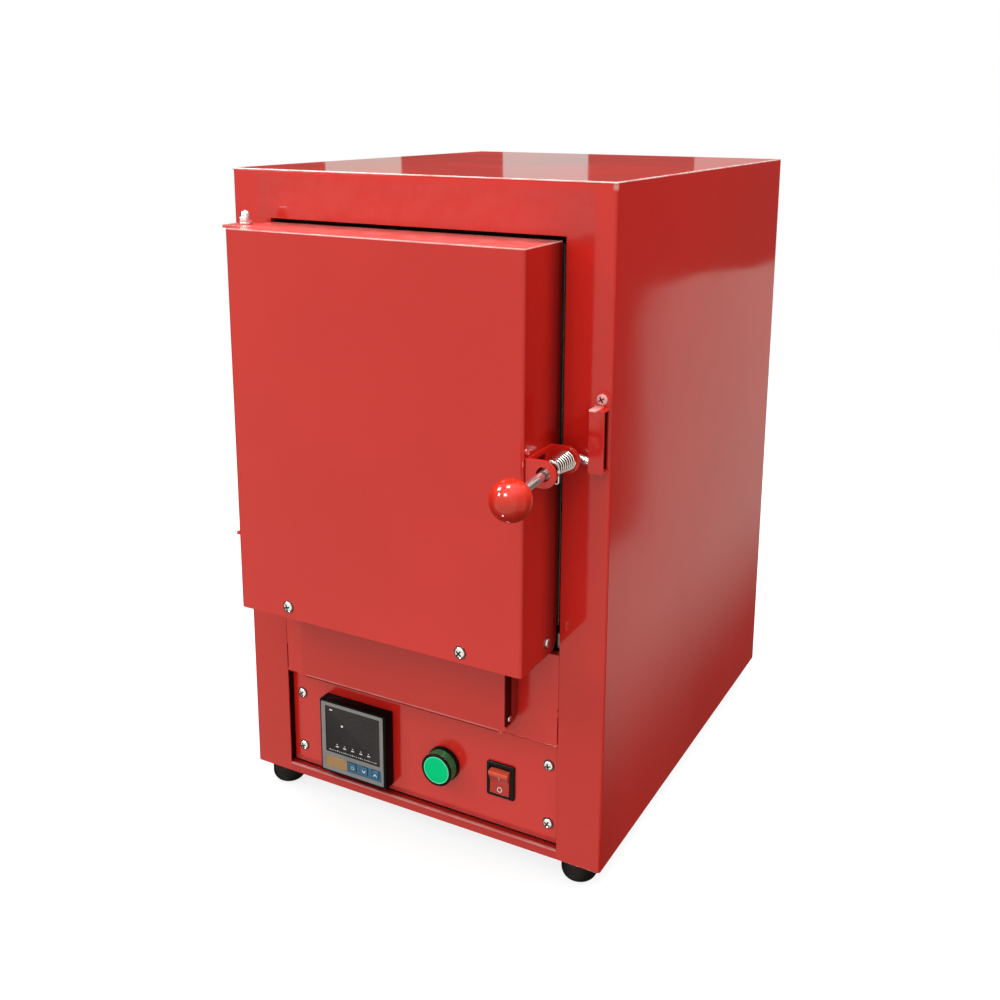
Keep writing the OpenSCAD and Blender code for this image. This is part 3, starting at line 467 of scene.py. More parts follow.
# ------------------------------------------------------------------ mesh code
class Build:
    """Collects geometry in millimetres and turns it into one piece."""

    def __init__(self):
        self.bm = bmesh.new()
        self.mats = []

    def slot(self, key):
        if key not in self.mats:
            self.mats.append(key)
        return self.mats.index(key)

    def merge(self, other, key, matrix=None):
        """Copies another bmesh in, with one material."""
        i = self.slot(key)
        m = matrix or Matrix.Identity(4)
        vs = {}
        for v in other.verts:
            vs[v] = self.bm.verts.new(m @ v.co)
        flip = m.determinant() < 0
        for f in other.faces:
            loop = [vs[v] for v in f.verts]
            if flip:
                loop.reverse()
            try:
                nf = self.bm.faces.new(loop)
            except ValueError:
                continue
            nf.material_index = i
        return self

    def lathe(self, prof, o, d, key, segs=48, ref=None):
        """Turns a profile of (radius, height) round the line from o along d."""
        i = self.slot(key)
        d = Vector(d).normalized()
        a = Vector(ref) if ref else (Vector((0, 0, 1)) if abs(d.z) < 0.9 else Vector((1, 0, 0)))
        a = (a - d * a.dot(d)).normalized()
        b = d.cross(a)
        o = Vector(o)
        rows = []
        for r, h in prof:
            if r < 1e-6:
                rows.append([self.bm.verts.new(o + d * h)])
            else:
                rows.append([self.bm.verts.new(o + d * h + a * r * math.cos(2 * math.pi * k / segs) + b * r * math.sin(2 * math.pi * k / segs)) for k in range(segs)])
        for p, q in zip(rows, rows[1:]):
            for k in range(segs):
                n = (k + 1) % segs
                if len(p) == 1 and len(q) == 1:
                    continue
                if len(p) == 1:
                    f = self.bm.faces.new((p[0], q[n], q[k]))
                elif len(q) == 1:
                    f = self.bm.faces.new((p[k], p[n], q[0]))
                else:
                    f = self.bm.faces.new((p[k], p[n], q[n], q[k]))
                f.material_index = i
        if len(rows[0]) > 1:
            f = self.bm.faces.new(rows[0]); f.material_index = i
        if len(rows[-1]) > 1:
            f = self.bm.faces.new(list(reversed(rows[-1]))); f.material_index = i
        return self

    def tube(self, path, r, key, segs=16, taper=None):
        """Sweeps a circle along a path with a frame that doesn't twist. taper gives each end's rounding steps."""
        i = self.slot(key)
        pts = [Vector(p) for p in path]
        tans = []
        for k in range(len(pts)):
            a = pts[max(k - 1, 0)]
            b = pts[min(k + 1, len(pts) - 1)]
            tans.append((b - a).normalized())
        t0 = tans[0]
        n = Vector((0, 0, 1)) if abs(t0.z) < 0.9 else Vector((1, 0, 0))
        n = (n - t0 * n.dot(t0)).normalized()
        rings = []
        for k, (p, t) in enumerate(zip(pts, tans)):
            if k:
                q = tans[k - 1].rotation_difference(t)
                n = q @ n
                n = (n - t * n.dot(t)).normalized()
            b = t.cross(n)
            rr = r[k] if isinstance(r, (list, tuple)) else r
            rings.append([self.bm.verts.new(p + n * rr * math.cos(2 * math.pi * s / segs) + b * rr * math.sin(2 * math.pi * s / segs)) for s in range(segs)])
        for p, q in zip(rings, rings[1:]):
            for s in range(segs):
                m = (s + 1) % segs
                f = self.bm.faces.new((p[s], p[m], q[m], q[s]))
                f.material_index = i
        f = self.bm.faces.new(list(reversed(rings[0]))); f.material_index = i
        f = self.bm.faces.new(rings[-1]); f.material_index = i
        return self

    def box(self, a, b, key, r=0.0, seg=3, matrix=None):
        tmp = bmesh.new()
        bmesh.ops.create_cube(tmp, size=1.0)
        a, b = Vector(a), Vector(b)
        for v in tmp.verts:
            v.co = Vector(((a.x + b.x) / 2 + v.co.x * (b.x - a.x), (a.y + b.y) / 2 + v.co.y * (b.y - a.y), (a.z + b.z) / 2 + v.co.z * (b.z - a.z)))
        if r > 0:
            bmesh.ops.bevel(tmp, geom=tmp.edges[:], offset=r, segments=seg, profile=0.5, affect="EDGES", clamp_overlap=True)
        self.merge(tmp, key, matrix)
        tmp.free()
        return self

    def prism(self, outline, a, b, key, axis="Y", r=0.0, seg=2, corner=None, matrix=None):
        """An outline in the plane across axis, carried from a to b. r rounds the rims."""
        tmp = bmesh.new()
        place = {"Y": lambda u, v, w: Vector((u, w, v)), "X": lambda u, v, w: Vector((w, u, v)), "Z": lambda u, v, w: Vector((u, v, w))}[axis]
        lo = [tmp.verts.new(place(u, v, a)) for u, v in outline]
        hi = [tmp.verts.new(place(u, v, b)) for u, v in outline]
        n = len(outline)
        tmp.faces.new(lo)
        tmp.faces.new(list(reversed(hi)))
        for k in range(n):
            m = (k + 1) % n
            tmp.faces.new((lo[k], hi[k], hi[m], lo[m]))
        bmesh.ops.recalc_face_normals(tmp, faces=tmp.faces[:])
        if r > 0:
            rims = [e for e in tmp.edges if len({round((v.co.y if axis == "Y" else v.co.x if axis == "X" else v.co.z), 6) for v in e.verts}) == 1]
            bmesh.ops.bevel(tmp, geom=rims, offset=r, segments=seg, profile=0.5, affect="EDGES", clamp_overlap=True)
        self.merge(tmp, key, matrix)
        tmp.free()
        return self

    def done(self, name, body, slot=None, reps=(), sharp=35, weighted=False, weld=False):
        bm = self.bm
        if weld:
            bmesh.ops.remove_doubles(bm, verts=bm.verts[:], dist=1e-4)
        bmesh.ops.recalc_face_normals(bm, faces=bm.faces[:])
        bm.transform(TO_ROW)
        me = bpy.data.meshes.new(name)
        bm.to_mesh(me)
        bm.free()
        for k in self.mats:
            me.materials.append(M[k])
        return finish_mesh(me, name, body, reps, sharp, weighted)


def finish_mesh(me, name, body, reps, sharp, weighted):
    me.polygons.foreach_set("use_smooth", [True] * len(me.polygons))
    me.set_sharp_from_angle(angle=math.radians(sharp))
    ob = bpy.data.objects.new(name, me)
    SCENE.collection.objects.link(ob)
    if weighted:
        mod = ob.modifiers.new("normals", "WEIGHTED_NORMAL")
        mod.keep_sharp = True
        mod.weight = 80
    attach(ob, body)
    if reps:
        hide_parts(*reps)
    return ob


def rounded(x0, x1, z0, z1, r, n=6, corners=(1, 1, 1, 1)):
    """Outline of a rounded rectangle, counter-clockwise from the lower left corner."""
    out = []
    for sx, sz, a0, on in ((0, 0, 180, corners[0]), (1, 0, 270, corners[1]), (1, 1, 0, corners[2]), (0, 1, 90, corners[3])):
        q = r if on else 0.02
        cx = x1 - q if sx else x0 + q
        cz = z1 - q if sz else z0 + q
        for k in range(n + 1):
            a = math.radians(a0 + 90 * k / n)
            out.append((cx + q * math.cos(a), cz + q * math.sin(a)))
    return out


BODY = {n: o["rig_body"] for n, o in NODE.items()}


def refine(node, key, width=0.35, seg=2, angle=30, extra=None, sharp=40):
    """The node's own shape as a clean mesh: flats merged, edges broken with a small radius."""
    src = NODE[node]
    bm = bmesh.new()
    bm.from_mesh(src.data)
    bmesh.ops.remove_doubles(bm, verts=bm.verts[:], dist=2.5e-5)
    for f in bm.faces:
        f.material_index = 0
    bmesh.ops.dissolve_degenerate(bm, dist=2e-5, edges=bm.edges[:])
    bmesh.ops.dissolve_limit(bm, angle_limit=math.radians(0.7), verts=bm.verts[:], edges=bm.edges[:], use_dissolve_boundaries=False)
    if extra:
        extra(bm)
    bmesh.ops.recalc_face_normals(bm, faces=bm.faces[:])
    if width:
        lim = math.radians(angle)
        pick = [e for e in bm.edges if len(e.link_faces) == 2 and e.calc_face_angle(0.0) > lim]
        bmesh.ops.bevel(bm, geom=pick, offset=width / 1000, segments=seg, profile=0.5, affect="EDGES", clamp_overlap=False, loop_slide=True)
    name = node + "_skin"
    me = bpy.data.meshes.new(name)
    bm.to_mesh(me)
    bm.free()
    for a in ("custom_normal",):
        if a in me.attributes:
            me.attributes.remove(me.attributes[a])
    me.materials.append(M[key])
    return finish_mesh(me, name, BODY[node], (node,), sharp, True)


def paint_node(node, key, slot=None):
    """Keeps the CAD node and gives it a procedural finish."""
    o = NODE[node]
    o.data.materials.clear()
    o.data.materials.append(M[key])


# ------------------------------------------------------------------ sheet metal
def small_notch(bm):
    """The notch at the foot of the door's side flanges, drawn as small as it looks."""
    foot, top = W(0, -14, 191), W(0, -0.5, 204.5)
    for v in bm.verts:
        if foot.z - 6e-5 < v.co.z < foot.z + 0.0016 and foot.y - 1e-4 < v.co.y < foot.y + 0.0016:
            v.co.y += 0.0078
        elif abs(v.co.x) > 0.12 and abs(v.co.z - top.z) < 0.0016 and abs(v.co.y - top.y) < 1e-4:
            v.co.z -= 0.0078


for node, key, width in (("case_wrap", "paint_case", 0.35), ("top_panel", "paint_case", 0.6), ("rear_panel", "paint", 0.3), ("mid_panel", "paint_panel", 0.3),
                         ("lower_cover", "paint_cover", 0.4), ("control_panel", "paint_panel", 0.3)):
    refine(node, key, width)
refine("door_shell", "paint_door", 0.35, extra=small_notch)
for node, width in {"hinge_brackets": 0.3, "strike": 0.3, "hinge_leaves": 0.35, "latch_bracket": 0.35}.items():
    refine(node, "paint_small", width)
for node in ("base_panel", "compartment_shelf"):
    refine(node, "zinc", 0.0)
refine("door_liner", "dark_steel", 0.25)

# ------------------------------------------------------------------ furnace
for node in ("left_brick", "right_brick", "floor_brick", "roof_brick"):
    refine(node, "brick", 0.0)
refine("back_brick", "brick_b", 0.0)
refine("hearth_tile", "tile", 1.0, 3)
refine("door_plug", "fibre", 1.2, 3)
refine("door_gasket", "gasket", 1.0, 3)
for node in ("element_bushes", "thermocouple"):
    refine(node, "ceramic", 0.3)


def coil(name, s, node):
    """A resistance wire wound into a long coil that runs to and fro in the side brick's grooves."""
    rows = [245 + 42 * i for i in range(6)]
    y0, y1, x = 46.0, 302.0, 107.0 * s
    line = [(y1, rows[0])]
    for i in range(6):
        front = i % 2 == 0
        line.append((y0, rows[i]) if front else (y1, rows[i]))
        if i < 5:
            line.append((y0, rows[i + 1]) if front else (y1, rows[i + 1]))
    line = [(y1, rows[0])] + [p for k, p in enumerate(line[1:]) if k == 0 or p != line[k]]
    # the last row starts at the front and ends at the back
    if line[-1] != (y1, rows[5]):
        line.append((y1, rows[5]))
    # round the corners and walk along at even steps
    pts = []
    for k, p in enumerate(line):
        p = Vector((x, p[0], p[1]))
        if 0 < k < len(line) - 1:
            a = Vector((x, *line[k - 1])) - p
            b = Vector((x, *line[k + 1])) - p
            if a.length > 0 and b.length > 0 and abs(a.normalized().dot(b.normalized())) < 0.99:
                rr = 7.0
                for t in range(7):
                    u = t / 6
                    pts.append(p + a.normalized() * rr * (1 - u) ** 2 + b.normalized() * rr * u ** 2)
                continue
        pts.append(p)
    step, pitch, rc = 0.34, 3.5, 3.3
    walk, left = [], 0.0
    for a, b in zip(pts, pts[1:]):
        d = (b - a).length
        u = left
        while u < d:
            walk.append((a + (b - a) * (u / d), (b - a).normalized()))
            u += step
        left = u - d
    out = [Vector((x, 424, rows[0])), Vector((x, 330, rows[0])), Vector((x, 312, rows[0]))]
    for k, (p, t) in enumerate(walk):
        side = Vector((1, 0, 0))
        other = t.cross(side)
        ph = 2 * math.pi * k * step / pitch
        grow = min(1.0, k / 30, (len(walk) - 1 - k) / 30)
        out.append(p + (side * math.cos(ph) + other * math.sin(ph)) * rc * grow)
    out += [Vector((x, 312, rows[5])), Vector((x, 330, rows[5])), Vector((x, 424, rows[5]))]
    Build().tube(out, 0.62, "element", 6).done(name, "cabinet", "element_wire", (node,), 80)


coil("heating_coil_left", -1, "element_left")
coil("heating_coil_right", 1, "element_right")


# ------------------------------------------------------------------ screws
def cross_head(r, h, shank, length, bite=1.0):
    """A pan head with a cross recess; the head rises along +Z from z = 0."""
    b = Build()
    prof = [(0, -length), (shank, -length), (shank, 0), (r * 0.97, 0), (r, h * 0.10), (r, h * 0.38)]
    for a in range(10, 91, 10):
        t = math.radians(a)
        prof.append((r * math.cos(t) ** 0.8 if a < 90 else 0, h * (0.38 + 0.62 * math.sin(t))))
    b.lathe(prof, (0, 0, 0), (0, 0, 1), "plated", 40)
    bmesh.ops.recalc_face_normals(b.bm, faces=b.bm.faces[:])
    body = bpy.data.meshes.new("tmp_head")
    b.bm.to_mesh(body)
    b.bm.free()
    c = Build()
    for turn in (0, 90):
        rot = Matrix.Rotation(math.radians(turn), 4, "Z")
        w, l = r * 0.15, r * 0.60 * bite
        tmp = bmesh.new()
        pts = [(-l, h + 1), (l, h + 1), (l, h * 0.62), (r * 0.18, h * 0.06), (-r * 0.18, h * 0.06), (-l, h * 0.62)]
        lo = [tmp.verts.new((u, -w, v)) for u, v in pts]
        hi = [tmp.verts.new((u, w, v)) for u, v in pts]
        tmp.faces.new(lo)
        tmp.faces.new(list(reversed(hi)))
        for k in range(len(pts)):
            m = (k + 1) % len(pts)
            tmp.faces.new((lo[k], hi[k], hi[m], lo[m]))
        bmesh.ops.recalc_face_normals(tmp, faces=tmp.faces[:])
        tmp.transform(rot)
        me = bpy.data.meshes.new("tmp_cut")
        tmp.to_mesh(me)
        tmp.free()
        cut = bpy.data.objects.new("tmp_cut", me)
        SCENE.collection.objects.link(cut)
        base = bpy.data.objects.new("tmp_base", body)
        SCENE.collection.objects.link(base)
        mod = base.modifiers.new("cut", "BOOLEAN")
        mod.object = cut
        mod.operation = "DIFFERENCE"
        mod.solver = "EXACT"
        bpy.context.view_layer.update()
        dg = bpy.context.evaluated_depsgraph_get()
        new = bpy.data.meshes.new_from_object(base.evaluated_get(dg))
        bpy.data.objects.remove(base)
        bpy.data.objects.remove(cut)
        body = new
    def inside(f):
        c = f.calc_center_median()
        if c.z < 0.03:
            return False
        s = min(1.0, max(0.0, (c.z / h - 0.38) / 0.62))
        return math.hypot(c.x, c.y) < r * math.cos(math.asin(s)) ** 0.8 * 0.93 - 0.02
    # the recess and the skin are kept apart so that each has its own finish; the recess takes a dark finish as painted
    # shade
    parts = []
    for want in (False, True):
        out = bmesh.new()
        out.from_mesh(body)
        bmesh.ops.recalc_face_normals(out, faces=out.faces[:])
        bmesh.ops.delete(out, geom=[f for f in out.faces if inside(f) != want], context="FACES")
        parts.append(out)
    return parts


HEADS = {}


def screw(build, at, d, r, h, shank, length, turn=None, skin="plated", pit="recess", ring=True):
    """Adds a screw whose seat is at the point and whose head looks along d."""
    key = (r, h, shank, length)
    if key not in HEADS:
        HEADS[key] = cross_head(r, h, shank, length)
    d = Vector(d).normalized()
    q = Vector((0, 0, 1)).rotation_difference(d).to_matrix().to_4x4()
    spin = Matrix.Rotation(math.radians(rng.uniform(0, 90) if turn is None else turn), 4, "Z")
    place = Matrix.Translation(Vector(at)) @ q @ spin
    build.merge(HEADS[key][0], skin, place)
    build.merge(HEADS[key][1], pit, place)
    # painted shade: a thin near-black ring round the seat, in place of the contact shadow round the head
    if ring:
        build.lathe([(shank, 0.02), (r * 1.15, 0.02), (r * 1.15, 0.16), (shank, 0.16), (shank, 0.02)], at, d, "recess", 40)


b = Build()
for (x, z), t in zip(((-127, 26.5), (-127, 80), (127, 26.5), (127, 80)), (20, 38, 62, 12)):
    screw(b, (x, 7.2, z), (0, -1, 0), 4.5, 2.8, 2.0, 7, t)
# the strike's screw: red enamel with painted glints on its head, painted shade in its recess, no shadow ring
screw(b, (170.7, -1.6, 400), (0, -1, 0), 4.3, 2.8, 2.0, 1.5, 30, "paint_glint", "paint_recess_shade", False)
for h in (512.9, 245.4):
    for z in (10, 20):
        screw(b, (-150, -2.1, h - z), (0, -1, 0), 3.0, 1.6, 1.6, 1.9)
b.done("case_screw_set", "cabinet", "plated_steel", ("case_screws",), 30)

b = Build()
screw(b, (101.4, -15.5, 126.5), (1, 0, 0), 2.6, 1.5, 1.5, 3, 40)
screw(b, (-113, -15.5, 126.5), (-1, 0, 0), 2.6, 1.5, 1.5, 3, 10)
b.done("cover_screw_set", "cabinet", "plated_steel", ("cover_screws",), 30)

b = Build()
for s in (-1, 1):
    for z in (40, 280, 500):
        screw(b, (s * 169, 435, z), (0, 1, 0), 3.8, 2.4, 1.6, 6)
b.done("rear_screw_set", "cabinet", "plated_steel", ("rear_screws",), 30)

b = Build()
screw(b, (-84.5, -61, 201.7), (0, -1, 0), 4.7, 2.6, 2.0, 5, 15)
screw(b, (82, -61, 200.2), (0, -1, 0), 4.7, 2.6, 2.0, 5, 52)
for s in (-1, 1):
    screw(b, (s * 135.3, -17, 202.2), (s, 0, 0), 4.0, 2.0, 1.5, 3, 33)
for y in (-34.5, -15.5):
    screw(b, (-137.3, y, 263), (-1, 0, 0), 3.0, 1.6, 1.6, 1.9)
b.done("door_screw_set", "door", "plated_steel", ("door_screws",), 30)


# ------------------------------------------------------------------ hinges
def hexagon(r, turn=0.0):
    return [(r * math.cos(math.radians(60 * k + turn)), r * math.sin(math.radians(60 * k + turn))) for k in range(6)]


def acorn(build, at, turn):
    """Washer, hexagon and domed cap, rising along +Z."""
    x, y, z = at
    build.lathe([(3.05, 0), (5.9, 0), (6.2, 0.2), (6.2, 0.9), (5.9, 1.1), (3.05, 1.1), (3.05, 0)], at, (0, 0, 1), "plated", 40)
    tmp = bmesh.new()
    out = hexagon(5.7, turn)
    rings = []
    for s, h in ((0.93, 1.15), (1.0, 1.6), (1.0, 5.3), (0.90, 6.0)):
        rings.append([tmp.verts.new((x + u * s, y + v * s, z + h)) for u, v in out])
    for p, q in zip(rings, rings[1:]):
        for k in range(6):
            m = (k + 1) % 6
            tmp.faces.new((p[k], p[m], q[m], q[k]))
    tmp.faces.new(list(reversed(rings[0])))
    tmp.faces.new(rings[-1])
    up = [e for e in tmp.edges if abs(e.verts[0].co.z - e.verts[1].co.z) > 1]
    bmesh.ops.bevel(tmp, geom=up, offset=0.35, segments=2, profile=0.5, affect="EDGES", clamp_overlap=True)
    build.merge(tmp, "plated")
    tmp.free()
    prof = [(4.75, 5.9), (4.75, 6.5)]
    for a in range(0, 91, 9):
        t = math.radians(a)
        prof.append((4.6 * math.cos(t) if a < 90 else 0, 6.6 + 4.6 * math.sin(t)))
    build.lathe([(4.0, 5.8)] + prof, at, (0, 0, 1), "plated", 40)


b = Build()
acorn(b, (-144, -24.5, 516.2), 12)
acorn(b, (-144, -24.5, 248.7), 40)
b.done("hinge_nut_set", "cabinet", "plated_steel", ("hinge_nuts",), 35)

b = Build()
for h in (513.5, 246):
    b.lathe([(0, h - 7.9), (3.2, h - 7.8), (4.4, h - 7.3), (5.0, h - 6.4), (5.0, h - 3.65), (3.0, h - 3.6), (3.0, h + 4.1), (2.6, h + 4.5), (0, h + 4.5)],
            (-144, -24.5, 0), (0, 0, 1), "plated", 40)
b.done("hinge_pin_set", "cabinet", "plated_steel", ("hinge_pins",), 35)

# ------------------------------------------------------------------ feet
for node, x, y in (("foot_front_left", -153, 16), ("foot_front_right", 153, 16), ("foot_rear_left", -153, 395), ("foot_rear_right", 153, 395)):
    prof = [(4.8, -19), (8.2, -19)]
    for a in range(10, 91, 8):
        t = math.radians(a)
        prof.append((15.5 * (0.52 + 0.48 * math.sin(t)), -19 + 9.3 * (1 - math.cos(t))))
    prof += [(15.5, -9.2), (15.45, -3.2), (15.2, -2.6), (15.5, -2.0), (15.5, -0.6), (15.1, -0.05), (2.4, -0.05), (2.4, -9.0), (4.8, -9.0), (4.8, -19)]
    Build().lathe(prof, (x, y, 0), (0, 0, 1), "rubber", 64).done(node + "_rubber", "cabinet", "black_rubber", (node,), 40, weld=True)
refine("foot_screws", "plated", 0.15)


# ------------------------------------------------------------------ latch
RX, RZ = 149.5, 354.0
CRANK, BEND = math.radians(4.5), 6.0
R_BALL, BALL_Y = 15.5, -107.0
RUN = (-50 - BEND * math.sin(CRANK) - BALL_Y) / math.cos(CRANK)
BALL_Z = RZ - BEND * (1 - math.cos(CRANK)) - RUN * math.sin(CRANK)
HOOK = math.radians(9)


def rod_path():
    """Centre line from inside the ball to the tip of the hook."""
    end = RUN - R_BALL + 6
    bx = Vector((RX, -50 - BEND * math.sin(CRANK), RZ - BEND * (1 - math.cos(CRANK))))
    d = Vector((0, -math.cos(CRANK), -math.sin(CRANK)))
    pts = [bx + d * end * (1 - k / 6) for k in range(6)]
    for k in range(5):
        a = CRANK * (1 - k / 4)
        pts.append(Vector((RX, -50 - BEND * math.sin(a), RZ - BEND * (1 - math.cos(a)))))
    for k in range(1, 8):
        pts.append(Vector((RX, -50 + (-7 - BEND + 50) * k / 8, RZ)))
    side = Vector((math.cos(HOOK), 0, -math.sin(HOOK)))
    for k in range(13):
        a = math.radians(90 * k / 12)
        pts.append(Vector((RX, -7 - BEND, RZ)) + side * BEND * (1 - math.cos(a)) + Vector((0, BEND * math.sin(a), 0)))
    base = Vector((RX, -7, RZ)) + side * BEND
    for k in range(1, 5):
        pts.append(base + side * (21 - BEND - 1.0) * k / 4)
    pts.append(base + side * (21 - BEND - 0.6))
    pts.append(base + side * (21 - BEND - 0.25))
    pts.append(base + side * (21 - BEND))
    return pts


b = Build()
path = rod_path()
radii = [3.5] * (len(path) - 3) + [3.35, 3.05, 2.5]
b.tube(path, radii, "rod", 40)
b.lathe([(0, -7), (0.8, -7), (1, -6.8), (1, 6.8), (0.8, 7), (0, 7)], (RX, -46.7, RZ), (0, 0, 1), "rod", 20)
b.done("latch_bar", "latch_handle", "plated_steel", ("latch_rod",), 40)

b = Build()
axis = Vector((0, math.cos(CRANK), math.sin(CRANK)))
prof = [(0, -R_BALL)]
for k in range(1, 58):
    a = math.pi * k / 64
    prof.append((R_BALL * math.sin(a), -R_BALL * math.cos(a)))
# small flat and chamfer round the bar
prof += [(4.9, 14.95), (4.4, 15.05), (3.62, 14.8), (3.52, 13.6), (3.52, 9.0), (0, 9.0)]
b.lathe(prof, (RX, BALL_Y, BALL_Z), axis, "ball", 96)
b.done("ball_knob", "latch_handle", "ball_red", ("latch_ball",), 50)

b = Build()
b.lathe([(5.9, 0), (7.3, 0), (7.6, 0.25), (7.6, 1.35), (7.3, 1.6), (5.9, 1.6), (5.9, 0)], (RX, -45.5, RZ), (0, 1, 0), "plated", 48)
b.lathe([(3.58, 0.03), (5.95, 0.03), (5.95, 1.57), (3.58, 1.57), (3.58, 0.03)], (RX, -45.5, RZ), (0, 1, 0), "spring", 48)
b.done("spring_washer", "latch_slider", "plated_steel", ("latch_washer",), 30)


def spring():
    """Conical compression spring with closed ends; one wire end turns down as a short tail."""
    turns, wire = 9.2, 0.63
    y0, y1 = -43.2, -18.4
    n = int(turns * 36)
    pts = []
    a0 = math.radians(-70)
    for k in range(n + 1):
        w = k / n * turns
        # closed ends: the pitch is small in the first and last half turn
        lead = min(w, 0.5) * wire * 2.1 + max(0.0, min(w, turns - 0.5) - 0.5) * ((y1 - y0) - 2.1 * wire) / (turns - 1.0) + max(0.0, w - (turns - 0.5)) * wire * 2.1
        a = a0 + 2 * math.pi * w
        rc = 4.55 + 3.1 * (w / turns) ** 0.9
        pts.append(Vector((RX + rc * math.cos(a), y0 + lead, RZ + rc * math.sin(a))))
    b = Build()
    b.tube(pts, wire, "spring", 12)
    # the tail leaves the underside of the third turn and runs forward and down to a small foot
    root = min(pts[170:206], key=lambda q: q.z)
    tail = [root + Vector(q) for q in ((0.8, 1.0, 0.1), (0.4, 0.4, -0.35), (0.1, -0.4, -0.8), (0, -1.1, -1.2), (0, -1.5, -2.4), (0, -1.6, -4.2),
                                       (0, -1.6, -6.2), (0, -1.6, -7.4), (-0.5, -1.7, -8.1), (-1.5, -1.8, -8.4), (-2.4, -1.9, -8.3))]
    b.tube(tail, wire, "spring", 12)
    return b


ob = spring().done("latch_coil_spring", "door", "spring_steel", ("latch_spring",), 60)
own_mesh(ob)

# ------------------------------------------------------------------ controller
CX, CZ, CF = -62.8, 51.8, -5.6
b = Build()
# moulded bezel: black body with softly drafted sides, open in front for the window and the key strip
h = 35.5
for (x0, x1, z0, z1) in ((-h, -31.2, -h, h), (31.2, h, -h, h), (-31.3, 31.3, 30.6, h), (-31.3, 31.3, -h, -32.8)):
    b.box((CX + x0, CF + 0.35, CZ + z0), (CX + x1, 7.1, CZ + z1), "bezel", 0.45, 3)
b.box((CX - 33, CF + 1.9, CZ - 33), (CX + 33, 6.8, CZ + 33), "bezel", 0.2, 1)
b.box((CX - 31.3, CF + 0.6, CZ - 18.4), (CX + 31.3, CF + 2.4, CZ - 15.2), "bezel", 0.2, 2)
b.done("controller_frame", "cabinet", "black_plastic", ("controller_bezel",), 35)


def frame_sheet(build, outer, inner, y0, y1, key):
    """A thin sheet with a window, as one closed ring of quads."""
    i = build.slot(key)
    bm = build.bm
    rings = []
    for out, y in ((outer, y0), (inner, y0), (inner, y1), (outer, y1)):
        rings.append([bm.verts.new((u, y, v)) for u, v in out])
    n = len(outer)
    for p, q in zip(rings, rings[1:] + rings[:1]):
        for k in range(n):
            m = (k + 1) % n
            f = bm.faces.new((p[k], p[m], q[m], q[k]))
            f.material_index = i


b = Build()
frame_sheet(b, rounded(CX - 33.9, CX + 33.0, CZ - 17.2, CZ + 34.0, 1.2, 6, (0, 0, 1, 1)), rounded(CX - 29.6, CX + 29.4, CZ - 14.9, CZ + 30.8, 0.9), CF, CF + 0.4, "face")
# the same sheet goes on round the key strip
frame_sheet(b, rounded(CX - 33.9, CX + 33.0, CZ - 33.6, CZ - 17.1, 1.2, 6, (1, 1, 0, 0)), rounded(CX - 30.3, CX + 30.7, CZ - 29.8, CZ - 18.7, 0.7), CF, CF + 0.4, "face")
b.done("controller_face_sheet", "cabinet", "black_plastic", (), 30)

b = Build()
b.prism(rounded(CX - 29.5, CX + 29.3, CZ - 14.8, CZ + 30.7, 0.8), CF + 0.55, CF + 1.8, "window", "Y", 0.25, 2)
# unlit seven-segment figures under the window
def figure(x, z, w, h, t, lean=0.10):
    for sx, sz, horiz in ((0, 1, 1), (0, 0, 1), (0, -1, 1), (-1, 0.5, 0), (1, 0.5, 0), (-1, -0.5, 0), (1, -0.5, 0)):
        cx = x + sx * w / 2 + (sz * h / 2) * lean
        cz = z + sz * h / 2
        if horiz:
            l = w / 2 - t * 0.75
            pts = [(cx - l, cz), (cx - l + t / 2, cz - t / 2), (cx + l - t / 2, cz - t / 2), (cx + l, cz), (cx + l - t / 2, cz + t / 2), (cx - l + t / 2, cz + t / 2)]
        else:
            l = h / 4 - t * 0.75
            k = lean * l
            pts = [(cx - k, cz - l), (cx - k + t / 2, cz - l + t / 2), (cx + k + t / 2, cz + l - t / 2), (cx + k, cz + l), (cx + k - t / 2, cz + l - t / 2), (cx - k - t / 2, cz - l + t / 2)]
        b.prism(pts, CF + 0.50, CF + 0.56, "led_off", "Y")
for i in range(4):
    figure(CX - 13.5 + i * 11.5, CZ + 19.0, 7.0, 14.0, 1.7)
for i in range(4):
    figure(CX - 8.5 + i * 8.6, CZ + 2.2, 5.0, 9.4, 1.2)
# small lamps' marks and a scale of ticks along the lower edge
for x, z, w, t in ((-23.6, 27.0, 3.2, 1.2), (-11.6, 13.6, 2.2, 2.0)):
    b.prism(rounded(CX + x - w / 2, CX + x + w / 2, CZ + z - t / 2, CZ + z + t / 2, 0.4, 3), CF + 0.49, CF + 0.56, "ink", "Y")
for i, x in enumerate((-17.4, -9.2, -0.4, 8.6, 17.0)):
    b.prism(rounded(CX + x - 1.6, CX + x + 1.6, CZ - 8.6, CZ - 7.6, 0.35, 3), CF + 0.49, CF + 0.56, "ink", "Y")
    b.prism(rounded(CX + x - 0.6, CX + x + 0.6, CZ - 6.3, CZ - 5.6, 0.25, 3), CF + 0.49, CF + 0.56, "ink", "Y")
for i in range(25):
    x = -25.6 + i * 2.1
    b.prism(rounded(CX + x - 0.5, CX + x + 0.5, CZ - 13.0, CZ - (12.4 if i % 4 else 12.0), 0.2, 2), CF + 0.49, CF + 0.56, "ink", "Y")
b.done("controller_window_pane", "cabinet", "smoked_window", ("controller_window",), 30)

KEY_X = (CX - 0.5, CX + 11.9, CX + 24.2)
KEY_Z = CZ - 23.6
MARK_Z = KEY_Z - 0.7
b = Build()
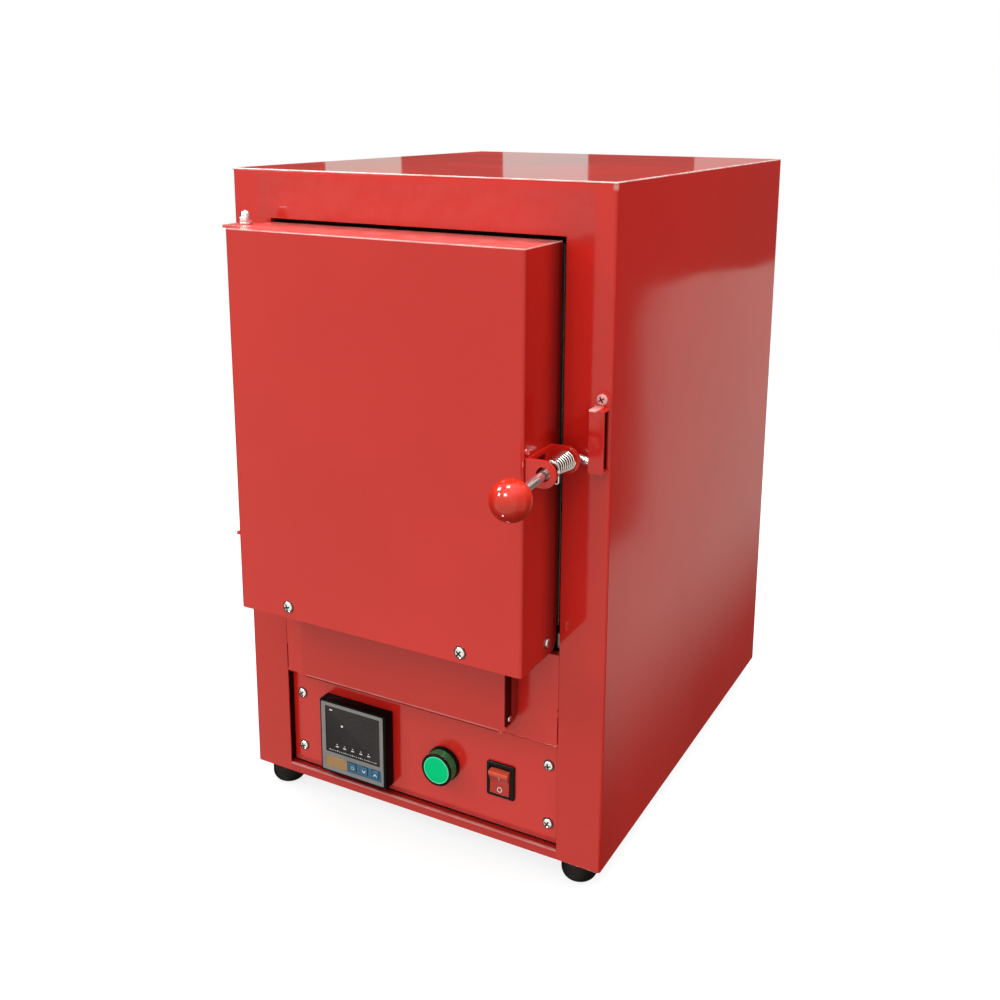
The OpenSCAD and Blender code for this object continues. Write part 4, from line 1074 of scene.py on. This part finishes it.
# gold label field on the left, blue film with three openings on the right
b.prism(rounded(CX - 30.7, CX - 6.9, CZ - 32.5, CZ - 15.5, 0.6, 4), CF + 0.25, CF + 1.5, "gold", "Y", 0.15, 1)
b.box((CX - 6.6, CF + 0.25, CZ - 32.5), (CX + 31.1, CF + 1.6, KEY_Z - 4.1), "blue", 0.12, 1)
b.box((CX - 6.6, CF + 0.25, KEY_Z + 4.1), (CX + 31.1, CF + 1.6, CZ - 15.5), "blue", 0.12, 1)
xs = [CX - 6.6] + [v for k in KEY_X for v in (k - 4.1, k + 4.1)] + [CX + 31.1]
for k in range(0, len(xs), 2):
    b.box((xs[k], CF + 0.25, KEY_Z - 4.3), (xs[k + 1], CF + 1.6, KEY_Z + 4.3), "blue", 0.12, 1)
b.box((CX - 6.6, CF + 1.2, CZ - 32.4), (CX + 31.0, CF + 1.9, CZ - 15.6), "black", 0.0)
b.done("key_film", "cabinet", "key_film", ("key_strip",), 30)


def stroke(build, pts, w, y0, y1, key):
    """A flat line of width w through the points, as a thin raised print."""
    for (ax, az), (bx, bz) in zip(pts, pts[1:]):
        d = Vector((bx - ax, bz - az))
        n = Vector((-d.y, d.x)).normalized() * w / 2
        e = d.normalized() * w * 0.25
        build.prism([(ax - e.x + n.x, az - e.y + n.y), (ax - e.x - n.x, az - e.y - n.y), (bx + e.x - n.x, bz + e.y - n.y), (bx + e.x + n.x, bz + e.y + n.y)], y0, y1, key, "Y")


def key_piece(name, node, x, body, glyph):
    b = Build()
    b.prism(rounded(x - 3.7, x + 3.7, KEY_Z - 3.7, KEY_Z + 3.7, 0.9, 5), CF - 0.45, CF + 2.3, "blue", "Y", 0.35, 3)
    y0, y1 = CF - 0.52, CF - 0.43
    if glyph == "loop":
        arc = [(x + 0.2 + 1.7 * math.cos(math.radians(a)), MARK_Z + 1.35 * math.sin(math.radians(a))) for a in range(-50, 231, 20)]
        stroke(b, arc, 0.62, y0, y1, "ink")
        ax, az = arc[0]
        stroke(b, [(ax - 1.3, az - 0.1), (ax, az), (ax + 0.1, az + 1.2)], 0.6, y0, y1, "ink")
    elif glyph == "down":
        stroke(b, [(x - 1.7, MARK_Z + 1.1), (x, MARK_Z - 1.2), (x + 1.7, MARK_Z + 1.1)], 0.75, y0, y1, "ink")
    else:
        stroke(b, [(x - 1.7, MARK_Z - 1.1), (x, MARK_Z + 1.2), (x + 1.7, MARK_Z - 1.1)], 0.75, y0, y1, "ink")
    b.done(name, body, "key_film", (node,), 30)


key_piece("set_button", "key_set", KEY_X[0], "set_key", "loop")
key_piece("down_button", "key_down", KEY_X[1], "down_key", "down")
key_piece("up_button", "key_up", KEY_X[2], "up_key", "up")

# ------------------------------------------------------------------ pilot lamp
LX, LZ = 25.9, 52.5
b = Build()
b.lathe([(11, 37.0), (11, 7.15), (15.3, 7.15), (15.6, 6.9), (15.6, 4.4), (15.2, 3.8), (13.0, 3.5), (10, 3.6), (10, 37), (11, 37)], (LX, 0, LZ), (0, 1, 0), "black_gloss", 72)
# rim that holds the front disc
b.lathe([(12.4, -4.9), (12.4, -6.35), (12.9, -6.75), (14.2, -6.8), (14.75, -6.4), (14.85, -5.5), (14.7, -5.0), (12.4, -4.9)], (LX, 0, LZ), (0, 1, 0), "black_gloss", 72)
b.done("lamp_body", "cabinet", "black_plastic", ("pilot_body",), 35, weld=True)

b = Build()
n = 144
i = b.slot("lens")
rows = []
for y, r in ((3.7, 14.2), (3.2, 14.6), (-4.6, 14.6), (-5.0, 14.2), (-5.0, 10.5), (3.7, 10.5)):
    ring = []
    for k in range(n):
        rib = 0.34 if k % 4 in (0, 1) else 0.0
        rr = r - (rib if r > 11 else 0)
        a = 2 * math.pi * k / n
        ring.append(b.bm.verts.new((LX + rr * math.cos(a), y, LZ + rr * math.sin(a))))
    rows.append(ring)
for p, q in zip(rows, rows[1:] + rows[:1]):
    for k in range(n):
        m = (k + 1) % n
        f = b.bm.faces.new((p[k], p[m], q[m], q[k]))
        f.material_index = i
prof = [(0, -6.95), (5, -6.9), (9, -6.8), (11.5, -6.6), (11.7, -6.5), (11.7, -4.0), (0, -4.0)]
b.lathe(prof, (LX, 0, LZ), (0, 1, 0), "lamp_face", 72)
b.lathe([(11.65, -6.4), (11.8, -6.72), (12.3, -6.72), (12.45, -6.3), (12.3, -4.2), (11.65, -4.2), (11.65, -6.4)], (LX, 0, LZ), (0, 1, 0), "lamp_rim", 72)
b.done("lamp_lens", "cabinet", "lamp_green", ("pilot_lens",), 25)
refine("pilot_nut", "black", 0.25)

# ------------------------------------------------------------------ rocker switch
SX, SZ = 82.4, 53.0
b = Build()
outer = rounded(SX - 13.2, SX + 13.2, SZ - 15.8, SZ + 15.8, 1.8, 6)
inner = rounded(SX - 10.1, SX + 9.3, SZ - 12.5, SZ + 11.9, 0.9, 6)
i = b.slot("black_gloss")
rings = []
for out, y, grow in ((outer, 7.1, 0), (outer, 5.5, 0), (outer, 5.0, -0.55), (inner, 5.0, 0.5), (inner, 5.5, 0), (inner, 19.5, 0), (None, 19.5, 0)):
    if out is None:
        break
    cx, cz = SX, SZ
    rings.append([b.bm.verts.new((u + (grow if u > cx else -grow), y, v + (grow if v > cz else -grow))) for u, v in out])
for p, q in zip(rings, rings[1:]):
    for k in range(len(p)):
        m = (k + 1) % len(p)
        f = b.bm.faces.new((p[k], p[m], q[m], q[k]))
        f.material_index = i
f = b.bm.faces.new(rings[-1]); f.material_index = i
box_out = rounded(SX - 11, SX + 11, SZ - 14, SZ + 14, 0.8, 6)
back = [b.bm.verts.new((u, 7.1, v)) for u, v in box_out]
tail = [b.bm.verts.new((u, 31.2, v)) for u, v in box_out]
for p, q in ((rings[0], back), (back, tail)):
    for k in range(len(p)):
        m = (k + 1) % len(p)
        f = b.bm.faces.new((p[k], p[m], q[m], q[k]))
        f.material_index = i
f = b.bm.faces.new(tail); f.material_index = i
b.done("switch_frame", "cabinet", "black_plastic", ("switch_housing",), 30)

def face_y(v):
    """Depth of the rocker's face: highest at its two lips."""
    u = max(0.0, 1 - (abs(v) / 10.7 if v < 0 else v / 9.2))
    return -9.4 + 2.7 * u * (1 - 0.15 * u)


b = Build()
a9 = math.radians(9)
# side view of the rocker in its own frame: two faces that meet in a shallow valley
pts = [(-9.4, 9.2), (-8.9, 10.6), (-3, 10.7), (4, 4), (4, -4), (-3, -11.5), (-9.0, -11.4), (-9.4, -10.7)]
for k in range(1, 12):
    v = -10.7 + 19.9 * k / 12
    pts.append((face_y(v), v))
rot = Matrix.Translation((SX, 11.5, SZ)) @ Matrix.Rotation(a9, 4, "X")
tmp = bmesh.new()
lo = [tmp.verts.new((-9.6, u, v)) for u, v in pts]
hi = [tmp.verts.new((8.8, u, v)) for u, v in pts]
tmp.faces.new(lo)
tmp.faces.new(list(reversed(hi)))
for k in range(len(pts)):
    m = (k + 1) % len(pts)
    tmp.faces.new((lo[k], hi[k], hi[m], lo[m]))
bmesh.ops.recalc_face_normals(tmp, faces=tmp.faces[:])
edges = [e for e in tmp.edges if e.calc_face_angle(0) > math.radians(32)]
bmesh.ops.bevel(tmp, geom=edges, offset=0.45, segments=3, profile=0.5, affect="EDGES", clamp_overlap=True)
b.merge(tmp, "rocker", rot)
tmp.free()
# the two marks are thin raised prints: a ring below and a bar above
def print_on(build, u, v, w, hh):
    tmp = bmesh.new()
    bmesh.ops.create_cube(tmp, size=1.0)
    for q in tmp.verts:
        at = v + q.co.z * hh
        q.co = Vector((u + q.co.x * w, face_y(at) - 0.10 + q.co.y * 0.06, at))
    build.merge(tmp, "ink", rot)
    tmp.free()
def ring_on(build, v, r, w, y, lean):
    tmp = bmesh.new()
    rows = []
    for k in range(40):
        a = 2 * math.pi * k / 40
        rows.append([tmp.verts.new((rr * math.cos(a), y - dy + lean * rr * math.sin(a), v + rr * math.sin(a))) for rr, dy in ((r, 0.0), (r, 0.06), (r - w, 0.06), (r - w, 0.0))])
    for k in range(40):
        p, q = rows[k], rows[(k + 1) % 40]
        for s in range(4):
            m = (s + 1) % 4
            tmp.faces.new((p[s], p[m], q[m], q[s]))
    bmesh.ops.recalc_face_normals(tmp, faces=tmp.faces[:])
    build.merge(tmp, "ink", rot)
    tmp.free()
ring_on(b, -6.6, 2.3, 0.55, face_y(-6.6) - 0.10, 0.24)
print_on(b, 0.0, 4.6, 0.55, 3.2)
b.done("rocker_key", "rocker", "rocker_red", ("switch_rocker",), 28)
refine("switch_tabs", "brass", 0.08)

# ------------------------------------------------------------------ bay and rear
refine("controller_housing", "black", 0.3)
refine("relay", "relay", 0.4)
refine("heat_sink", "alu", 0.15)
refine("terminal_block", "term", 0.3)
GX, GZ = 118.0, 40.0
b = Build()
b.lathe([(4.5, 423), (7.6, 423), (8, 423.5), (8, 435), (4.5, 435), (4.5, 423)], (GX, 0, GZ), (0, 1, 0), "black", 48)
def hex_ring(y0, y1, r):
    tmp = bmesh.new()
    out = hexagon(r, 30)
    rings = [[tmp.verts.new((GX + u * s, y, GZ + v * s)) for u, v in out] for s, y in ((0.95, y0), (1, y0 + 0.5), (1, y1 - 0.5), (0.95, y1))]
    inn = [[tmp.verts.new((GX + u * 0.62, y, GZ + v * 0.62)) for u, v in out] for y in (y1, y0)]
    loop = rings + inn
    for p, q in zip(loop, loop[1:] + loop[:1]):
        for k in range(6):
            m = (k + 1) % 6
            tmp.faces.new((p[k], p[m], q[m], q[k]))
    bmesh.ops.recalc_face_normals(tmp, faces=tmp.faces[:])
    up = [e for e in tmp.edges if abs(e.verts[0].co.y - e.verts[1].co.y) > 1 and e.calc_face_angle(0) > 0.6]
    bmesh.ops.bevel(tmp, geom=up, offset=0.5, segments=2, profile=0.5, affect="EDGES", clamp_overlap=True)
    b.merge(tmp, "black")
    tmp.free()
hex_ring(435.0, 440.0, 12.5)
hex_ring(428.5, 433.5, 12.5)
prof = [(4.5, 439.9), (10.5, 439.9), (10.5, 446.6)]
prof += [(10.4, 447.0), (9.8, 448.0), (7.6, 451.9), (7.0, 452.5), (5.0, 452.5), (4.5, 452.0), (4.5, 439.9)]
b.lathe(prof, (GX, 0, GZ), (0, 1, 0), "black", 64)
for k in range(24):
    a = 2 * math.pi * k / 24
    m = Matrix.Translation((GX, 0, GZ)) @ Matrix.Rotation(a, 4, "Y")
    b.box((-0.5, 440.6, 10.2), (0.5, 446.4, 11.0), "black", 0.2, 1, m)
b.done("supply_gland", "cabinet", "black_plastic", ("cable_gland",), 35, weld=False)

# ------------------------------------------------------------------ floor, light and camera
def emitter(name, pts, color, strength, soft=None):
    """A soft card that only shows in reflections."""
    me = bpy.data.meshes.new(name)
    me.from_pydata([Vector(p) for p in pts], [], [list(range(len(pts)))])
    ob = bpy.data.objects.new(name, me)
    SCENE.collection.objects.link(ob)
    m = bpy.data.materials.new(name)
    m.use_nodes = True
    nt = m.node_tree
    nt.nodes.clear()
    out = nt.nodes.new("ShaderNodeOutputMaterial")
    em = nt.nodes.new("ShaderNodeEmission")
    em.inputs["Color"].default_value = (*color, 1)
    em.inputs["Strength"].default_value = strength
    nt.links.new(em.outputs[0], out.inputs["Surface"])
    if soft:
        # strength fades along an axis of the row frame between two heights
        axis, lo, hi, a, bb = soft
        tc = nt.nodes.new("ShaderNodeTexCoord")
        sx = nt.nodes.new("ShaderNodeSeparateXYZ")
        mr = nt.nodes.new("ShaderNodeMapRange")
        mr.interpolation_type = "SMOOTHSTEP"
        nt.links.new(tc.outputs["Object"], sx.inputs[0])
        nt.links.new(sx.outputs[axis], mr.inputs["Value"])
        for k, v in (("From Min", lo), ("From Max", hi), ("To Min", a * strength), ("To Max", bb * strength)):
            mr.inputs[k].default_value = v
        nt.links.new(mr.outputs[0], em.inputs["Strength"])
    me.materials.append(m)
    for flag in ("visible_camera", "visible_diffuse", "visible_shadow", "visible_transmission", "visible_volume_scatter"):
        setattr(ob, flag, False)
    ob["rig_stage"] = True
    return ob


# world: one soft lobe along each axis, each with its own tint
WORLD = {(-1, 0, 0): (0.034, 0.034, 0.034), (1, 0, 0): (0.032, 0.032, 0.032), (0, -1, 0): (1.17, 1.17, 1.17), (0, 1, 0): (0.077, 0.091, 0.082),
         (0, 0, 1): (1.87, 1.87, 1.87), (0, 0, -1): (0.034, 0.034, 0.034)}


def make_world(lobes):
    """Radiance is the sum over the lobes of tint * max(0, d . axis) ** 2."""
    world = bpy.data.worlds.new("studio")
    SCENE.world = world
    world.use_nodes = True
    nt = world.node_tree
    tc = nt.nodes.new("ShaderNodeTexCoord")
    total = None
    for axis, tint in lobes.items():
        dot = nt.nodes.new("ShaderNodeVectorMath")
        dot.operation = "DOT_PRODUCT"
        nt.links.new(tc.outputs["Generated"], dot.inputs[0])
        dot.inputs[1].default_value = axis
        pos = nt.nodes.new("ShaderNodeMath")
        pos.operation = "MAXIMUM"
        nt.links.new(dot.outputs["Value"], pos.inputs[0])
        pos.inputs[1].default_value = 0.0
        sq = nt.nodes.new("ShaderNodeMath")
        sq.operation = "MULTIPLY"
        nt.links.new(pos.outputs[0], sq.inputs[0])
        nt.links.new(pos.outputs[0], sq.inputs[1])
        sc = nt.nodes.new("ShaderNodeVectorMath")
        sc.operation = "SCALE"
        sc.inputs[0].default_value = tint
        nt.links.new(sq.outputs[0], sc.inputs["Scale"])
        if total is None:
            total = sc.outputs["Vector"]
        else:
            add = nt.nodes.new("ShaderNodeVectorMath")
            add.operation = "ADD"
            nt.links.new(total, add.inputs[0])
            nt.links.new(sc.outputs["Vector"], add.inputs[1])
            total = add.outputs["Vector"]
    nt.links.new(total, nt.nodes["Background"].inputs["Color"])
    nt.nodes["Background"].inputs["Strength"].default_value = 1.0


make_world(WORLD)


def area(name, at, look, size, power, color=(1, 1, 1), glossy=True):
    d = bpy.data.lights.new(name, "AREA")
    d.shape = "RECTANGLE"
    d.size, d.size_y = size
    d.energy = power
    d.color = color
    o = bpy.data.objects.new(name, d)
    SCENE.collection.objects.link(o)
    o.location = at
    o.rotation_mode = "QUATERNION"
    o.rotation_quaternion = (Vector(look) - Vector(at)).to_track_quat("-Z", "Y")
    o.visible_camera = False
    o.visible_glossy = glossy
    return o


area("key_light", (-2.3, -1.9, 2.1), (0, 0, 0.3), (0.6, 0.6), 14.9, (1.0, 0.985, 0.96), False)
area("front_light", (0.2, -3.0, 2.2), (0, 0, 0.3), (1.6, 1.2), 9.8, (1.0, 0.99, 0.97), False)
area("top_light", (-0.3, 0.3, 3.2), (0, 0, 0.3), (1.8, 1.8), 108, (1, 1, 1), False)
area("right_fill", (1.5, 0.2, 1.45), (0.17, 0.1, 0.35), (0.7, 0.7), 11.9, (1, 0.99, 0.98), False)
area("back_fill", (0.4, 2.8, 1.3), (0, 0.2, 0.3), (1.5, 1.5), 18, (1, 1, 1), False)
area("left_fill", (-2.6, 0.9, 1.3), (-0.1, 0.1, 0.3), (1.2, 1.2), 14, (1, 1, 1), False)

# reflections on the right side and on the top
emitter("side_card", [(1.6, 6.4, -0.25), (1.6, 5.2, -0.22), (1.6, 4.3, -0.14), (1.6, 3.66, -0.13), (1.6, 3.54, -0.25), (1.6, 3.58, -0.62), (1.6, 3.60, -1.06),
                      (1.6, 3.50, -1.16), (1.6, 2.90, -1.16), (1.6, 2.90, -2.8), (1.6, 6.4, -2.8)], (0.437, 0.565, 0.508), 1.0, ("Z", -2.5, -1.55, 0.12, 1.0))
emitter("top_card_a", [(-2.45, 3, 0.5), (-2.08, 3, 0.5), (-2.06, 3, 1.4), (-2.45, 3, 1.4)], (0.256, 0.523, 0.482), 1.0)
emitter("top_card_b", [(-1.62, 3, 0.4), (-1.26, 3, 0.4), (-1.26, 3, 1.6), (-1.60, 3, 1.6)], (0.246, 0.556, 0.532), 1.0)
emitter("top_card_c", [(-0.86, 3, 0.4), (-0.40, 3, 0.4), (-0.40, 3, 1.6), (-0.84, 3, 1.6)], (0.313, 0.36, 0.337), 1.0)
emitter("front_card", [(-6, -4, -4), (6.5, -4, -4), (6.5, -4, 2.6), (-6, -4, 2.6)], (0.93, 0.98, 0.86), 1.0)
emitter("right_card", [(6, -4, -4), (6, 2.2, -4), (6, 2.2, 2.6), (6, -4, 2.6)], (0.55, 0.57, 0.52), 1.0)
emitter("edge_card_up", [(-2.3, -1.5, 3.0), (-0.9, -1.5, 3.0), (-0.9, -0.2, 3.0), (-2.3, -0.2, 3.0)], (1, 0.97, 0.95), 1.0)
emitter("edge_card_back", [(0.2, 3, 1.9), (1.8, 3, 1.9), (1.8, 3, 3.2), (0.2, 3, 3.2)], (1, 0.97, 0.95), 1.0)

# small ceiling lamps, seen only as glints
for k, (p, s) in enumerate(((( -0.35, -0.32, 3.34), 0.44), ((-2.12, -0.59, 2.32), 0.40), ((-1.83, -1.93, 1.91), 0.36), ((-0.20, -2.42, 2.46), 0.44), ((-1.03, -1.72, -3.0), 0.22))):
    p = Vector(p)
    d = (Vector((0.15, -0.27, 0.37)) - p).normalized()
    a = d.orthogonal().normalized()
    c = d.cross(a)
    emitter(f"ceiling_lamp_{k}", [p + (a * math.cos(t) + c * math.sin(t)) * s for t in [2 * math.pi * q / 24 for q in range(24)]], (1, 0.98, 0.95), 26)

# floor: a wide pale disc that takes the shadows and runs out into the pale backdrop
bm = bmesh.new()
rows = []
for r in (0.0, 0.4, 0.8, 1.4, 2.4, 4.0, 7.0, 11.9):
    rows.append([bm.verts.new((0, 0, 0))] if r == 0 else [bm.verts.new((r * math.cos(2 * math.pi * k / 96), r * math.sin(2 * math.pi * k / 96), 0)) for k in range(96)])
for p, q in zip(rows, rows[1:]):
    for k in range(96):
        m = (k + 1) % 96
        bm.faces.new((p[0], q[k], q[m]) if len(p) == 1 else (p[k], q[k], q[m], p[m]))
me = bpy.data.meshes.new("studio_floor")
bm.to_mesh(me)
bm.free()
floor = bpy.data.objects.new("studio_floor", me)
SCENE.collection.objects.link(floor)
m = bpy.data.materials.new("pale_floor")
m.use_nodes = True
nt = m.node_tree
nt.nodes.clear()
out = nt.nodes.new("ShaderNodeOutputMaterial")
dif = nt.nodes.new("ShaderNodeBsdfDiffuse")
em = nt.nodes.new("ShaderNodeEmission")
add = nt.nodes.new("ShaderNodeAddShader")
mix = nt.nodes.new("ShaderNodeMixShader")
far = nt.nodes.new("ShaderNodeEmission")
far.inputs["Strength"].default_value = 1.0
dif.inputs["Color"].default_value = (0.24, 0.24, 0.238, 1)
em.inputs["Strength"].default_value = 0.80
nt.links.new(dif.outputs[0], add.inputs[0])
nt.links.new(em.outputs[0], add.inputs[1])
tc = nt.nodes.new("ShaderNodeTexCoord")
ln = nt.nodes.new("ShaderNodeVectorMath")
ln.operation = "LENGTH"
nt.links.new(tc.outputs["Object"], ln.inputs[0])
mr = nt.nodes.new("ShaderNodeMapRange")
mr.interpolation_type = "SMOOTHSTEP"
nt.links.new(ln.outputs["Value"], mr.inputs["Value"])
mr.inputs["From Min"].default_value = 0.7
mr.inputs["From Max"].default_value = 2.6
nt.links.new(mr.outputs[0], mix.inputs[0])
nt.links.new(add.outputs[0], mix.inputs[1])
nt.links.new(far.outputs[0], mix.inputs[2])
nt.links.new(mix.outputs[0], out.inputs["Surface"])
me.materials.append(m)
for flag in ("visible_diffuse", "visible_glossy", "visible_shadow", "visible_transmission"):
    setattr(floor, flag, False)
floor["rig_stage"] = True

# pale backdrop, seen by the camera alone
bm = bmesh.new()
bmesh.ops.create_uvsphere(bm, u_segments=48, v_segments=24, radius=12.0)
me = bpy.data.meshes.new("backdrop")
bm.to_mesh(me)
bm.free()
drop = bpy.data.objects.new("backdrop", me)
SCENE.collection.objects.link(drop)
m = bpy.data.materials.new("pale_backdrop")
m.use_nodes = True
nt = m.node_tree
nt.nodes.clear()
out = nt.nodes.new("ShaderNodeOutputMaterial")
em = nt.nodes.new("ShaderNodeEmission")
em.inputs["Strength"].default_value = 1.0
nt.links.new(em.outputs[0], out.inputs["Surface"])
me.materials.append(m)
for flag in ("visible_diffuse", "visible_glossy", "visible_shadow", "visible_transmission", "visible_volume_scatter"):
    setattr(drop, flag, False)
drop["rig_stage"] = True

cam_data = bpy.data.cameras.new("camera")
cam = bpy.data.objects.new("camera", cam_data)
SCENE.collection.objects.link(cam)
SCENE.camera = cam
az, el, roll = math.radians(28.319), math.radians(12.659), math.radians(0.284)
fw = Vector((-math.sin(az) * math.cos(el), math.cos(az) * math.cos(el), -math.sin(el)))
right = fw.cross(Vector((0, 0, 1))).normalized()
up = right.cross(fw)
cx_axis = right * math.cos(roll) + up * math.sin(roll)
cy_axis = -right * math.sin(roll) + up * math.cos(roll)
cam.matrix_world = Matrix.Translation((0.49928, -0.93747, 0.63229)) @ Matrix((cx_axis, cy_axis, -fw)).transposed().to_4x4()
cam_data.sensor_fit = "HORIZONTAL"
cam_data.sensor_width = 36.0
cam_data.lens = 41.697
cam_data.shift_x = 0.0
cam_data.shift_y = -0.135
cam_data.clip_start, cam_data.clip_end = 0.05, 60
cam_data.dof.use_dof = False

SCENE.view_settings.view_transform = "Standard"
SCENE.view_settings.look = "None"

lo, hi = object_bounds()
